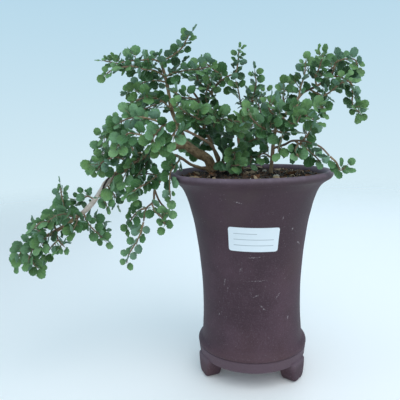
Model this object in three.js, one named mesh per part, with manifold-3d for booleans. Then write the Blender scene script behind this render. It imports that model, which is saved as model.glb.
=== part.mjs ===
// A grewia bonsai in a tall flared stoneware pot. Millimetres, +Z up.
// The pot stands on three feet, the soil fills it, and four woody stems stand in holes in the soil.
// Each leafy spray is one body, a twig with its leaves grown on, and sits on the wood that carries it.
import * as THREE from 'three';
import Module from 'manifold-3d';
import { mergeVertices } from 'three/addons/utils/BufferGeometryUtils.js';

const wasm = await Module();
wasm.setup();

// Driving sizes of the pot
const POT_HEIGHT = 176;
const RIM_RADIUS = 68.5;
const POT_SIDES = 24;
const BASE_HEIGHT = 15.5;
const FLOOR_HEIGHT = 22.5;
const FOOT_TOP = 18.5;
const MOUTH_RADIUS = 60.2;
const DRAIN_RADIUS = 11;
const FOOT_COUNT = 3;
const FOOT_TURN = THREE.MathUtils.degToRad(87);
const FOOT_INNER = 34;
const FOOT_OUTER = 47.2;

// Driving sizes of the soil, the label and the drain mesh
const SOIL_EDGE = 171.2;
const SOIL_MOUND = 3.2;
const SOIL_RADIUS = 59.4;
const LABEL_WIDTH = 39.5;
const LABEL_HEIGHT = 19.5;
const LABEL_THICKNESS = 0.7;
const LABEL_MIDDLE = 127;
const LABEL_TURN = THREE.MathUtils.degToRad(-87);
const LABEL_LEAN = THREE.MathUtils.degToRad(-2);
const MESH_RADIUS = 17;
const MESH_THICKNESS = 1;

// Driving sizes of the plant
const GAP = 0.35;
const LEAF_THICKNESS = 0.6;
const LEAF_TEETH = 4;
const LEAF_SPACING = 10.1;
const FIRST_LEAF = 5;
const STALK = 1.6;
const LEAF_OPEN = THREE.MathUtils.degToRad(33);
const NOTCH = 0.84;
const TWIG_BASE = 1;
const TWIG_TIP = 0.8;
const TWIG_SEAT = 0.5;
const FORK = 3.4;
const CROWN_CENTRE = new THREE.Vector3(-50, 5, 200);

const COLOURS = {
  pot: '#4f4250',
  soil: '#2e241d',
  label: '#eceded',
  mesh: '#26292b',
  bark: '#6b5142',
  leaf: '#4a7a50',
};

// A closed three.js geometry as a solid that can be joined and cut
function solid(geometry) {
  const plain = geometry.index ? geometry.toNonIndexed() : geometry.clone();
  plain.deleteAttribute('normal');
  plain.deleteAttribute('uv');
  const merged = mergeVertices(plain, 1e-4);
  const vertProperties = new Float32Array(merged.attributes.position.array);
  const triVerts = new Uint32Array(merged.index.array);
  return new wasm.Manifold(new wasm.Mesh({ numProp: 3, vertProperties, triVerts }));
}

// A solid as a geometry again
function geometryOf(body) {
  const mesh = body.getMesh();
  const geometry = new THREE.BufferGeometry();
  geometry.setAttribute('position', new THREE.BufferAttribute(new Float32Array(mesh.vertProperties), 3));
  geometry.setIndex(new THREE.BufferAttribute(new Uint32Array(mesh.triVerts), 1));
  return geometry;
}

// A profile of [radius, height] points turned about the pot's axis
function turned(profile) {
  const points = profile.map(([radius, height]) => new THREE.Vector2(radius, height));
  return new THREE.LatheGeometry(points, POT_SIDES).rotateX(Math.PI / 2);
}

// The pot: the wall's outside from the base up to the rim, then the inside down to the floor
const POT_OUTSIDE = [
  [45.2, BASE_HEIGHT], [46.5, 17.2], [47.1, 21], [47.5, 24.8], [46.9, 28], [45.2, 31.8], [43.3, 40],
  [42.4, 60], [42.7, 80], [44.4, 102], [47.0, 123], [50.8, 142.5], [54.9, 156.5], [58.4, 164],
  [62.6, 167.6], [66.6, 170.4], [RIM_RADIUS, 173.2], [67.8, 175.2], [65.6, POT_HEIGHT],
];
const POT_INSIDE = [
  [62.6, 174.4], [MOUTH_RADIUS, 171.5], [50.2, 152], [42.6, 124], [38.0, 82], [37.0, FLOOR_HEIGHT],
];

function foot(angle) {
  const outline = new THREE.Shape();
  outline.moveTo(-10.8, FOOT_TOP);
  outline.lineTo(-10.2, 13);
  outline.quadraticCurveTo(-7.5, 4, -4.2, 0);
  outline.lineTo(4.2, 0);
  outline.quadraticCurveTo(7.5, 4, 10.2, 13);
  outline.lineTo(10.8, FOOT_TOP);
  const settings = { depth: FOOT_OUTER - FOOT_INNER, bevelEnabled: false, curveSegments: 3 };
  const geometry = new THREE.ExtrudeGeometry(outline, settings);
  geometry.rotateX(Math.PI / 2);
  geometry.translate(0, -FOOT_INNER, 0);
  geometry.rotateZ(angle + Math.PI / 2);
  return solid(geometry);
}

function makePot() {
  const ring = [[DRAIN_RADIUS, BASE_HEIGHT], ...POT_OUTSIDE, ...POT_INSIDE, [DRAIN_RADIUS, FLOOR_HEIGHT],
    [DRAIN_RADIUS, BASE_HEIGHT]];
  let pot = solid(turned(ring));
  for (let i = 0; i < FOOT_COUNT; i += 1) {
    pot = pot.add(foot(FOOT_TURN + (i * 2 * Math.PI) / FOOT_COUNT));
  }
  return pot;
}

// The drain mesh lies over the drain hole, under the soil
function makeDrainMesh() {
  const bottom = FLOOR_HEIGHT + GAP;
  const top = bottom + MESH_THICKNESS;
  return solid(turned([[0, bottom], [MESH_RADIUS, bottom], [MESH_RADIUS, top], [0, top]]));
}

// Height of the soil's top at a place: a low mound with lumps
function soilTop(x, y) {
  const across = Math.hypot(x, y) / SOIL_RADIUS;
  const lumps = Math.sin(0.31 * x + 1.3) * Math.cos(0.27 * y - 0.4) + 0.5 * Math.sin(0.5 * x - 0.43 * y);
  const calm = Math.max(0, 1 - across ** 6);
  return SOIL_EDGE + SOIL_MOUND * (1 - across ** 2) + 0.55 * calm * lumps;
}

function makeSoil() {
  const side = POT_INSIDE.slice(2).reverse().map(([radius, height]) => [radius - 2 * GAP, height]);
  side[0][1] = FLOOR_HEIGHT + GAP;
  const topRadii = [SOIL_RADIUS, 50, 38, 26, 13, 0];
  const marker = 200;
  const profile = [[0, FLOOR_HEIGHT + GAP], ...side, ...topRadii.map((radius) => [radius, marker])];
  const geometry = turned(profile);
  const position = geometry.attributes.position;
  for (let i = 0; i < position.count; i += 1) {
    if (position.getZ(i) > marker - 1) {
      position.setZ(i, soilTop(position.getX(i), position.getY(i)));
    }
  }
  const under = FLOOR_HEIGHT - 1;
  const over = FLOOR_HEIGHT + 2 * GAP + MESH_THICKNESS;
  const roomRadius = MESH_RADIUS + GAP;
  const meshRoom = turned([[0, under], [roomRadius, under], [roomRadius, over], [0, over]]);
  return solid(geometry).subtract(solid(meshRoom));
}

// The paper label follows the wall: a thin shell round the pot, cut to a rounded rectangle
function makeLabel() {
  const near = POT_OUTSIDE.filter(([, height]) => height > 100 && height < 145);
  const outer = near.map(([radius, height]) => [radius + GAP + LABEL_THICKNESS, height]);
  const inner = near.map(([radius, height]) => [radius + GAP, height]).reverse();
  const shell = solid(turned([...outer, ...inner, outer[0]]));
  const halfWidth = LABEL_WIDTH / 2;
  const halfHeight = LABEL_HEIGHT / 2;
  const corner = 2.2;
  const sheet = new THREE.Shape();
  sheet.moveTo(-halfWidth + corner, -halfHeight);
  sheet.lineTo(halfWidth - corner, -halfHeight);
  sheet.quadraticCurveTo(halfWidth, -halfHeight, halfWidth, -halfHeight + corner);
  sheet.lineTo(halfWidth, halfHeight - corner);
  sheet.quadraticCurveTo(halfWidth, halfHeight, halfWidth - corner, halfHeight);
  sheet.lineTo(-halfWidth + corner, halfHeight);
  sheet.quadraticCurveTo(-halfWidth, halfHeight, -halfWidth, halfHeight - corner);
  sheet.lineTo(-halfWidth, -halfHeight + corner);
  sheet.quadraticCurveTo(-halfWidth, -halfHeight, -halfWidth + corner, -halfHeight);
  const block = new THREE.ExtrudeGeometry(sheet, { depth: 60, bevelEnabled: false, curveSegments: 3 });
  block.rotateZ(LABEL_LEAN);
  block.rotateX(Math.PI / 2);
  block.translate(0, -5, LABEL_MIDDLE);
  block.rotateZ(LABEL_TURN + Math.PI / 2);
  return shell.intersect(solid(block));
}

// The wood, by stem. Each limb is a line of points with the radius at its start, early on and at its end.
const STEMS = {
  trunk: [
    { sides: 6, radii: [4.6, 4.2, 0.9], points: [
      [-33, 16, 161], [-33, 13, 175], [-36, 9, 185], [-43, 6, 190], [-50, 3, 195], [-56, 1, 199],
      [-67, -3, 197], [-80, -7, 193], [-92, -11, 189], [-104, -15, 181], [-114, -19, 174],
      [-120, -21, 169], [-125, -23, 161], [-135, -26, 149], [-150, -29, 138], [-167, -32, 128],
      [-177, -34, 125], [-186, -35, 114]] },
    { sides: 5, radii: [1.6, 1.3, 0.7], points: [
      [-35, 11, 176], [-40, 2, 178], [-44, -5, 180], [-50, -9, 183], [-56, -13, 188], [-62, -15, 191],
      [-66, -18, 188], [-68, -22, 181], [-72, -25, 172], [-77, -28, 164], [-78, -30, 155],
      [-84, -32, 149], [-86, -34, 139]] },
    { sides: 5, radii: [1.7, 1.4, 0.8], points: [
      [-34, 12, 178], [-28, 4, 182], [-26, -4, 187], [-31, -14, 198], [-38, -22, 204], [-48, -28, 210],
      [-57, -33, 213], [-65, -37, 216], [-70, -41, 210], [-77, -44, 205]] },
    { sides: 5, radii: [2.4, 1.8, 0.9], points: [
      [-54, 2, 198], [-58, 6, 208], [-64, 10, 220], [-68, 13, 231], [-71, 16, 250], [-73, 17, 258],
      [-76, 18, 270]] },
    { sides: 5, radii: [1.5, 1.2, 0.8], points: [
      [-87, -9, 190], [-99, -2, 195], [-111, 4, 197], [-124, 8, 195]] },
    { sides: 4, radii: [0.9, 0.8, 0.7], points: [
      [-77, -28, 164], [-74, -25, 154], [-68, -23, 146]] },
  ],
  twin_stem: [
    { sides: 5, radii: [2.2, 1.6, 0.9], points: [
      [-25, 18, 162], [-26, 17, 176], [-30, 16, 189], [-34, 14, 201], [-39, 12, 211], [-41, 8, 226],
      [-43, 6, 236], [-47, 2, 243]] },
    { sides: 5, radii: [1.8, 1.6, 1.0], points: [
      [-26, 17, 176], [-22, 14, 190], [-28, 18, 203], [-31, 22, 219], [-29, 24, 234], [-33, 22, 243],
      [-27, 18, 250], [-17, 14, 256]] },
  ],
  centre_stem: [
    { sides: 5, radii: [1.9, 1.6, 1.0], points: [
      [-7, 33, 162], [-7, 33, 176], [-8, 34, 190], [-10, 36, 202], [-7, 34, 217], [-2, 30, 227],
      [4, 26, 236]] },
  ],
  right_stem: [
    { sides: 5, radii: [1.8, 1.6, 0.8], points: [
      [17, -11, 161], [17, -13, 174], [18, -15, 187], [19, -18, 200], [21, -20, 211], [26, -20, 219],
      [32, -18, 225], [38, -14, 233], [44, -10, 239], [54, -4, 243], [62, 0, 249], [68, 2, 255]] },
    { sides: 5, radii: [1.1, 0.9, 0.6], points: [
      [19, -17, 195], [27, -26, 198], [33, -32, 201], [44, -36, 200], [53, -36, 196], [60, -34, 189]] },
  ],
};

// The leafy sprays: leaf widths, then the twig's line and the lines of its side twigs
const SPRAYS = {
  top_left: { leaf: [7, 10], twigs: [
    [[-76, 18, 270], [-82, 12, 272], [-89, 6, 271], [-95, 0, 270], [-101, -5, 269], [-107, -9, 267],
      [-113, -12, 268], [-118, -14, 269]],
    [[-76, 18, 270], [-70, 16, 273], [-63, 14, 276], [-56, 12, 281], [-52, 10, 287], [-48, 9, 293]]] },
  top_left_low: { leaf: [8, 10], twigs: [
    [[-73, 17, 258], [-80, 6, 262], [-87, -4, 262], [-94, -10, 264], [-102, -15, 263],
      [-109, -19, 261], [-114, -22, 257]]] },
  top_left_shade: { leaf: [8, 11], twigs: [
    [[-72, 17, 253], [-81, 21, 255], [-91, 24, 255], [-99, 24, 252], [-108, 24, 247]]] },
  left_high: { leaf: [8, 11], twigs: [
    [[-67, 12, 229], [-74, 4, 236], [-82, -3, 239], [-90, -8, 238], [-97, -12, 235]],
    [[-74, 4, 236], [-85, 14, 233], [-97, 24, 230], [-107, 30, 230]],
    [[-67, 12, 229], [-59, 3, 227], [-51, -4, 222], [-44, -8, 218]]] },
  left_reach: { leaf: [8, 10], twigs: [
    [[-65, -37, 216], [-74, -40, 220], [-84, -40, 222], [-94, -38, 221], [-103, -36, 217],
      [-109, -35, 211], [-114, -35, 207]]] },
  left_veil: { leaf: [9, 11], twigs: [
    [[-57, -33, 213], [-59, -39, 207], [-64, -43, 203], [-69, -45, 198]]] },
  left_front: { leaf: [9, 11], twigs: [
    [[-77, -44, 205], [-83, -47, 209], [-91, -48, 210], [-97, -47, 205], [-102, -45, 199]]] },
  trunk_veil: { leaf: [8, 10], twigs: [
    [[-83, -8, 192], [-84, -20, 190], [-89, -29, 188], [-94, -35, 186]]] },
  left_mid: { leaf: [8, 10], twigs: [
    [[-124, 8, 195], [-131, 10, 191], [-138, 11, 186], [-143, 11, 179]],
    [[-127, 9, 194], [-129, 6, 201], [-131, 5, 207]]] },
  left_mid_back: { leaf: [8, 10], twigs: [
    [[-99, -2, 195], [-109, 12, 202], [-120, 22, 209], [-129, 28, 215]]] },
  left_shade: { leaf: [8, 11], twigs: [
    [[-100, -14, 183], [-105, -24, 190], [-110, -30, 191], [-117, -34, 188], [-120, -37, 183]]] },
  pale_right: { leaf: [7, 10], twigs: [
    [[-120, -21, 169], [-118, -15, 163], [-115, -12, 156], [-114, -10, 150]]] },
  pale_front: { leaf: [8, 10], twigs: [
    [[-126, -23, 160], [-119, -31, 157], [-115, -36, 152]]] },
  pale_left: { leaf: [8, 10], twigs: [
    [[-130, -24, 156], [-137, -19, 158], [-144, -16, 154], [-151, -14, 149]]] },
  low_hang: { leaf: [8, 10], twigs: [
    [[-139, -27, 146], [-135, -26, 135], [-128, -25, 127], [-122, -24, 120]],
    [[-136, -26, 140], [-132, -18, 138], [-129, -12, 132], [-128, -7, 124]]] },
  low_upright: { leaf: [7, 10], twigs: [
    [[-151, -30, 138], [-154, -29, 149], [-156, -28, 160], [-157, -27, 169]],
    [[-151, -30, 138], [-160, -18, 144], [-172, -10, 143], [-183, -4, 139]]] },
  low_front: { leaf: [8, 10], twigs: [
    [[-161, -31, 131], [-161, -41, 140], [-165, -49, 142], [-169, -54, 139]],
    [[-161, -31, 131], [-157, -39, 125], [-149, -46, 121]],
    [[-157, -39, 125], [-164, -37, 119], [-170, -35, 112]]] },
  low_mid: { leaf: [8, 10], twigs: [
    [[-172, -33, 126], [-180, -25, 130], [-187, -17, 130], [-196, -11, 125]]] },
  low_end: { leaf: [8, 10], twigs: [
    [[-186, -35, 114], [-190, -38, 114], [-193, -41, 109], [-195, -43, 104]],
    [[-186, -35, 114], [-186, -30, 107], [-181, -27, 101]]] },
  hang_long: { leaf: [8, 10], twigs: [
    [[-86, -34, 139], [-89, -35, 129], [-94, -36, 120], [-99, -37, 112], [-101, -38, 105]]] },
  hang_right: { leaf: [8, 10], twigs: [
    [[-80, -31, 154], [-75, -38, 148], [-69, -43, 144], [-66, -46, 138]]] },
  hang_left: { leaf: [8, 10], twigs: [
    [[-83, -32, 150], [-92, -25, 146], [-100, -20, 138], [-103, -18, 130]]] },
  hang_top: { leaf: [8, 10], twigs: [
    [[-70, -24, 173], [-80, -20, 176], [-89, -17, 176], [-96, -15, 174]],
    [[-76, -22, 175], [-82, -32, 170], [-88, -38, 167], [-94, -42, 163]]] },
  under_trunk: { leaf: [8, 11], twigs: [
    [[-57, -14, 188], [-60, -23, 183], [-63, -31, 178], [-63, -37, 168], [-62, -40, 159]]] },
  bud_twig: { leaf: [7, 9], twigs: [
    [[-116, -20, 172], [-107, -26, 170], [-99, -31, 165], [-93, -34, 158]]] },
  crown_left: { leaf: [8, 11], twigs: [
    [[-73, 17, 258], [-63, 10, 260], [-51, 4, 261], [-40, -1, 261], [-32, -4, 262]]] },
  crown_inner: { leaf: [8, 10], twigs: [
    [[-43, 6, 235], [-49, -4, 237], [-55, -12, 238], [-60, -18, 242]]] },
  crown_top: { leaf: [8, 11], twigs: [
    [[-34, 22, 244], [-40, 14, 249], [-44, 8, 255], [-41, 3, 264]]] },
  crown_mid: { leaf: [8, 11], twigs: [
    [[-31, 23, 226], [-36, 12, 233], [-36, 2, 241], [-31, -6, 249]]] },
  crown_peak: { leaf: [8, 11], twigs: [
    [[-28, 18, 249], [-23, 8, 255], [-29, 1, 260], [-35, -3, 265]],
    [[-28, 18, 249], [-35, 29, 257], [-42, 38, 263], [-50, 45, 260]]] },
  mast: { leaf: [6, 8], twigs: [
    [[-17, 14, 256], [-11, 10, 258], [-9, 8, 266], [-8, 7, 276]]] },
  crown_right: { leaf: [8, 11], twigs: [
    [[-3, 31, 225], [3, 22, 238], [6, 16, 248], [5, 12, 259]],
    [[-3, 31, 225], [-7, 20, 233], [-9, 11, 243], [-11, 6, 251]]] },
  band_left: { leaf: [8, 10], twigs: [
    [[-38, 12, 208], [-38, -6, 217], [-43, -18, 221], [-50, -26, 225], [-55, -31, 230]]] },
  band_mid: { leaf: [8, 10], twigs: [
    [[-30, 20, 213], [-29, -2, 218], [-20, -18, 219], [-11, -28, 217], [-3, -35, 216]]] },
  band_right: { leaf: [9, 11], twigs: [
    [[20, -20, 208], [13, -28, 210], [6, -35, 214], [0, -40, 221]],
    [[20, -20, 208], [25, -30, 207], [23, -38, 200], [21, -42, 194]]] },
  heart_left: { leaf: [8, 11], twigs: [
    [[-23, 15, 193], [-17, 0, 193], [-12, -12, 191], [-13, -22, 186]],
    [[-23, 15, 193], [-21, 6, 205], [-14, -5, 212], [-7, -14, 210]]] },
  heart_right: { leaf: [8, 11], twigs: [
    [[-9, 35, 194], [-1, 24, 199], [7, 14, 203], [11, 6, 209]]] },
  heart_back: { leaf: [8, 11], twigs: [
    [[-35, 14, 204], [-39, 28, 201], [-48, 40, 195], [-57, 47, 192]]] },
  soil_front: { leaf: [9, 11], twigs: [
    [[-24, 16, 182], [-21, -8, 182], [-15, -22, 182], [-8, -31, 183]]] },
  soil_right: { leaf: [8, 10], twigs: [
    [[-7, 33, 182], [-2, 18, 187], [2, 8, 186], [0, 0, 182]]] },
  back: { leaf: [8, 11], twigs: [
    [[-10, 36, 203], [-1, 46, 211], [12, 52, 222], [25, 54, 229], [33, 52, 232], [41, 48, 229]],
    [[12, 52, 222], [9, 58, 234], [12, 61, 244]]] },
  right_inner: { leaf: [9, 11], twigs: [
    [[27, -20, 220], [19, -26, 221], [15, -30, 226], [16, -33, 232]],
    [[27, -20, 220], [30, -28, 215], [35, -35, 214], [37, -40, 219]]] },
  right_left: { leaf: [8, 10], twigs: [
    [[32, -18, 225], [28, -8, 231], [28, -2, 239], [33, 2, 245]]] },
  right_shoot: { leaf: [7, 9], twigs: [
    [[39, -13, 234], [41, -10, 243], [44, -8, 252], [45, -6, 263]]] },
  right_top: { leaf: [8, 10], twigs: [
    [[54, -4, 243], [52, -12, 250], [54, -18, 256], [56, -22, 265]]] },
  right_end: { leaf: [8, 11], twigs: [
    [[68, 2, 255], [69, -2, 261], [75, -6, 263], [82, -9, 262], [84, -11, 257]],
    [[68, 2, 255], [68, 14, 258], [74, 24, 262], [81, 32, 261]]] },
  right_hang: { leaf: [8, 10], twigs: [
    [[65, 1, 251], [75, 4, 250], [83, 5, 245], [84, 4, 236], [84, 2, 227], [90, 1, 221]]] },
  right_front: { leaf: [8, 10], twigs: [
    [[48, -8, 241], [57, -16, 235], [63, -21, 238], [69, -24, 243], [75, -26, 244]],
    [[57, -16, 235], [55, -26, 228], [56, -33, 222]]] },
  right_low: { leaf: [8, 11], twigs: [
    [[36, -15, 230], [39, -27, 224], [43, -36, 219], [49, -42, 215]]] },
  shelf_inner: { leaf: [8, 10], twigs: [
    [[18, -15, 187], [11, -20, 191], [6, -26, 189]]] },
  shelf_front: { leaf: [8, 11], twigs: [
    [[34, -33, 200], [43, -28, 195], [50, -24, 189], [56, -22, 183]],
    [[34, -33, 200], [34, -40, 194], [36, -46, 189]],
    [[38, -31, 198], [43, -37, 205], [45, -42, 210]]] },
  shelf_end: { leaf: [8, 10], twigs: [
    [[60, -34, 189], [65, -35, 184], [68, -36, 178], [72, -38, 182]]] },
};

// A steady number from 0 to 1 for a pair of whole numbers
function noise(a, b) {
  const value = Math.sin(a * 12.9898 + b * 78.233) * 43758.5453;
  return value - Math.floor(value);
}

function vectors(points) {
  return points.map(([x, y, z]) => new THREE.Vector3(x, y, z));
}

// Radius along a limb: quick taper to the middle value over the first part, then on to the tip
function limbRadius(radii, along) {
  const [start, middle, end] = radii;
  const turn = 0.15;
  if (along < turn) {
    return THREE.MathUtils.lerp(start, middle, along / turn);
  }
  return THREE.MathUtils.lerp(middle, end, (along - turn) / (1 - turn));
}

// A tapering tube with flat ends along a line of points
function taperedTube(line, radiusAt, sides, grow = 0) {
  const count = line.length;
  const points = line.map((point) => point.clone());
  const firstStep = new THREE.Vector3().subVectors(points[0], points[1]).normalize();
  const lastStep = new THREE.Vector3().subVectors(points[count - 1], points[count - 2]).normalize();
  points[0].addScaledVector(firstStep, grow);
  points[count - 1].addScaledVector(lastStep, grow);
  const positions = [];
  const index = [];
  const tangent = new THREE.Vector3();
  const across = new THREE.Vector3(0.31, 0.87, 0.38);
  const up = new THREE.Vector3();
  for (let i = 0; i < count; i += 1) {
    const before = points[Math.max(0, i - 1)];
    const after = points[Math.min(count - 1, i + 1)];
    tangent.subVectors(after, before).normalize();
    across.addScaledVector(tangent, -across.dot(tangent)).normalize();
    up.crossVectors(tangent, across);
    const radius = radiusAt(i / (count - 1)) + grow;
    for (let k = 0; k < sides; k += 1) {
      const angle = (2 * Math.PI * k) / sides;
      const corner = points[i].clone();
      corner.addScaledVector(across, radius * Math.cos(angle)).addScaledVector(up, radius * Math.sin(angle));
      positions.push(corner.x, corner.y, corner.z);
    }
  }
  for (let i = 0; i + 1 < count; i += 1) {
    for (let k = 0; k < sides; k += 1) {
      const a = i * sides + k;
      const b = i * sides + ((k + 1) % sides);
      index.push(a, b, b + sides, a, b + sides, a + sides);
    }
  }
  for (let k = 1; k + 1 < sides; k += 1) {
    const last = (count - 1) * sides;
    index.push(0, k + 1, k, last, last + k, last + k + 1);
  }
  const geometry = new THREE.BufferGeometry();
  geometry.setAttribute('position', new THREE.Float32BufferAttribute(positions, 3));
  geometry.setIndex(index);
  return solid(geometry);
}

function stemSolid(stem, grow = 0) {
  const tubes = stem.map((limb) => (
    taperedTube(vectors(limb.points), (along) => limbRadius(limb.radii, along), limb.sides, grow)));
  return tubes.reduce((sum, tube) => sum.add(tube));
}

// Nearest point to a place on a set of lines
function nearestOn(lines, place) {
  let best = null;
  let least = Infinity;
  const found = new THREE.Vector3();
  for (const line of lines) {
    for (let i = 0; i + 1 < line.length; i += 1) {
      new THREE.Line3(line[i], line[i + 1]).closestPointToPoint(place, true, found);
      const distance = found.distanceTo(place);
      if (distance < least) {
        least = distance;
        best = found.clone();
      }
    }
  }
  return best;
}

// Points along a line, every step or closer, each with the line's radius there and its way along
function beads(line, radiusAt, step = 1.5) {
  const lengths = line.slice(1).map((point, i) => point.distanceTo(line[i]));
  const total = lengths.reduce((sum, length) => sum + length, 0);
  const list = [];
  let walked = 0;
  lengths.forEach((length, i) => {
    const parts = Math.ceil(length / step);
    for (let k = 0; k < parts; k += 1) {
      const way = walked + (length * k) / parts;
      const point = new THREE.Vector3().lerpVectors(line[i], line[i + 1], k / parts);
      list.push({ point, radius: radiusAt(way / total), way });
    }
    walked += length;
  });
  list.push({ point: line[line.length - 1].clone(), radius: radiusAt(1), way: total });
  return list;
}

// Place and direction on a line at a way along it
function station(line, way) {
  let left = way;
  for (let i = 0; i + 1 < line.length; i += 1) {
    const length = line[i].distanceTo(line[i + 1]);
    if (left <= length || i + 2 === line.length) {
      const along = new THREE.Vector3().subVectors(line[i + 1], line[i]).normalize();
      return { place: line[i].clone().addScaledVector(along, Math.min(left, length)), along };
    }
    left -= length;
  }
  return null;
}

function lineLength(line) {
  return line.slice(1).reduce((sum, point, i) => sum + point.distanceTo(line[i]), 0);
}

// The way that leaves face on a part of the plant: outwards, up to the light and to the front
function facing(place) {
  const outward = new THREE.Vector3().subVectors(place, CROWN_CENTRE).normalize();
  return new THREE.Vector3(0, -0.5, 0.6).addScaledVector(outward, 0.55).normalize();
}

// One leaf as a disc: its middle, its face, its half width, and the stalk's root on the twig
function leafAt(place, along, side, halfWidth, seed, turn) {
  const face = facing(place);
  face.x += 0.7 * (noise(seed, 1) - 0.5);
  face.y += 0.7 * (noise(seed, 2) - 0.5);
  face.z += 0.5 * (noise(seed, 3) - 0.5);
  const across = new THREE.Vector3().crossVectors(along, face).normalize();
  const way = along.clone().multiplyScalar(side === 0 ? 1 : 0.45 + 0.3 * noise(seed, 4));
  way.addScaledVector(across, side === 0 ? 0.3 * (noise(seed, 5) - 0.5) : side * 0.9);
  way.z -= 0.12;
  way.normalize();
  way.applyAxisAngle(along, turn);
  face.applyAxisAngle(along, turn * 0.8);
  face.addScaledVector(way, -face.dot(way)).normalize();
  const middle = place.clone().addScaledVector(way, STALK + halfWidth);
  return { root: place, way, face, middle, halfWidth };
}

// Points that stand for a leaf in the tests below: its middle, a ring half way out, and its edge
function leafPoints(leaf) {
  const across = new THREE.Vector3().crossVectors(leaf.face, leaf.way);
  const list = [leaf.middle.clone(), leaf.root.clone().addScaledVector(leaf.way, STALK)];
  for (const [share, count] of [[0.55, 6], [1, 12]]) {
    for (let k = 0; k < count; k += 1) {
      const angle = (2 * Math.PI * k) / count;
      const point = leaf.middle.clone();
      point.addScaledVector(leaf.way, share * leaf.halfWidth * Math.cos(angle));
      point.addScaledVector(across, share * leaf.halfWidth * Math.sin(angle));
      list.push(point);
    }
  }
  return list;
}

// True where a point with a radius comes too close to a leaf's blade
function touchesBlade(point, radius, leaf) {
  const offset = new THREE.Vector3().subVectors(point, leaf.middle);
  const height = Math.abs(offset.dot(leaf.face));
  if (height > LEAF_THICKNESS / 2 + radius + GAP) {
    return false;
  }
  const reach = leaf.halfWidth + radius + GAP;
  return offset.lengthSq() - height * height < reach * reach;
}

// The stretch that a leaf's blade covers of a line, or null
function coveredStretch(origin, direction, leaf) {
  const offset = new THREE.Vector3().subVectors(leaf.middle, origin);
  const way = offset.dot(direction);
  const reach = leaf.halfWidth + GAP;
  const rest = reach * reach - (offset.lengthSq() - way * way);
  if (rest <= 0) {
    return null;
  }
  return [way - Math.sqrt(rest), way + Math.sqrt(rest)];
}

function leavesClash(one, other) {
  const reach = one.halfWidth + other.halfWidth + 1.5;
  if (one.middle.distanceTo(other.middle) > reach) {
    return false;
  }
  if (one.points.some((point) => touchesBlade(point, LEAF_THICKNESS / 2, other))) {
    return true;
  }
  if (other.points.some((point) => touchesBlade(point, LEAF_THICKNESS / 2, one))) {
    return true;
  }
  const direction = new THREE.Vector3().crossVectors(one.face, other.face);
  if (direction.length() < 0.05) {
    return false;
  }
  direction.normalize();
  const slope = one.face.dot(other.face);
  const first = one.face.dot(one.middle);
  const second = other.face.dot(other.middle);
  const origin = one.face.clone().multiplyScalar((first - second * slope) / (1 - slope * slope));
  origin.addScaledVector(other.face, (second - first * slope) / (1 - slope * slope));
  const a = coveredStretch(origin, direction, one);
  const b = coveredStretch(origin, direction, other);
  return a !== null && b !== null && a[0] < b[1] && b[0] < a[1];
}

// True where a point would be in or against the pot or the soil
function inPot(point) {
  const across = Math.hypot(point.x, point.y);
  const clear = 0.9;
  if (across > RIM_RADIUS + clear || point.z > POT_HEIGHT + clear) {
    return false;
  }
  return across > MOUTH_RADIUS - clear || point.z < soilTop(point.x, point.y) + clear;
}

// A flat blade with a toothed edge. It runs down to a thin upright edge that is sunk in the twig,
// so that the join between the blade and the twig stays small.
function leafSolid(leaf) {
  const across = new THREE.Vector3().crossVectors(leaf.face, leaf.way);
  const positions = [];
  const addPoint = (along, aside, height) => {
    const point = leaf.root.clone().addScaledVector(leaf.way, along);
    point.addScaledVector(across, aside).addScaledVector(leaf.face, height);
    positions.push(point.x, point.y, point.z);
  };
  const count = 2 * LEAF_TEETH - 1;
  addPoint(0, 0, 0);
  for (const height of [LEAF_THICKNESS / 2, -LEAF_THICKNESS / 2]) {
    for (let k = 0; k < count; k += 1) {
      const angle = -Math.PI + LEAF_OPEN + ((2 * Math.PI - 2 * LEAF_OPEN) * k) / (count - 1);
      const reach = leaf.halfWidth * (k % 2 === 0 ? 1 : NOTCH);
      addPoint(STALK + leaf.halfWidth + reach * Math.cos(angle), reach * Math.sin(angle), height);
    }
  }
  const top = (k) => 1 + k;
  const bottom = (k) => 1 + count + k;
  const last = count - 1;
  const index = [0, top(0), top(last), 0, bottom(last), bottom(0)];
  index.push(0, bottom(0), top(0), 0, top(last), bottom(last));
  for (let k = 0; k < last; k += 1) {
    index.push(top(k), bottom(k), bottom(k + 1), top(k), bottom(k + 1), top(k + 1));
  }
  for (let k = 1; k < last; k += 1) {
    index.push(top(0), top(k), top(k + 1), bottom(0), bottom(k + 1), bottom(k));
  }
  const geometry = new THREE.BufferGeometry();
  geometry.setAttribute('position', new THREE.Float32BufferAttribute(positions, 3));
  geometry.setIndex(index);
  return solid(geometry);
}

function twigRadius(along) {
  return THREE.MathUtils.lerp(TWIG_BASE, TWIG_TIP, along);
}

// The lines of every twig, each snapped to what carries it: the wood, or the spray's earlier twigs.
// A side twig that is listed from the first twig's foot forks off it just outside the wood.
const limbs = Object.values(STEMS).flat();
const woodLines = limbs.map((limb) => vectors(limb.points));
const sprays = Object.entries(SPRAYS).map(([name, { leaf, twigs }]) => {
  const lines = twigs.map(vectors);
  const [first, ...others] = lines;
  first[0].copy(nearestOn(woodLines, first[0]));
  first[0].copy(station(first, TWIG_SEAT).place);
  others.forEach((line, i) => {
    const fromFoot = twigs[i + 1][0].join() === twigs[0][0].join();
    line[0].copy(fromFoot ? station(first, FORK).place : nearestOn(lines.slice(0, i + 1), line[0]));
  });
  return { name, leaf, lines, leaves: [] };
});

// All the wood and twigs as beads, which the leaves keep clear of
const woodBeads = limbs.flatMap((limb) => (
  beads(vectors(limb.points), (along) => limbRadius(limb.radii, along))));
const twigBeads = sprays.flatMap(({ lines }) => lines.flatMap((line) => (
  beads(line, twigRadius).map((bead) => ({ ...bead, line })))));

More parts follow.
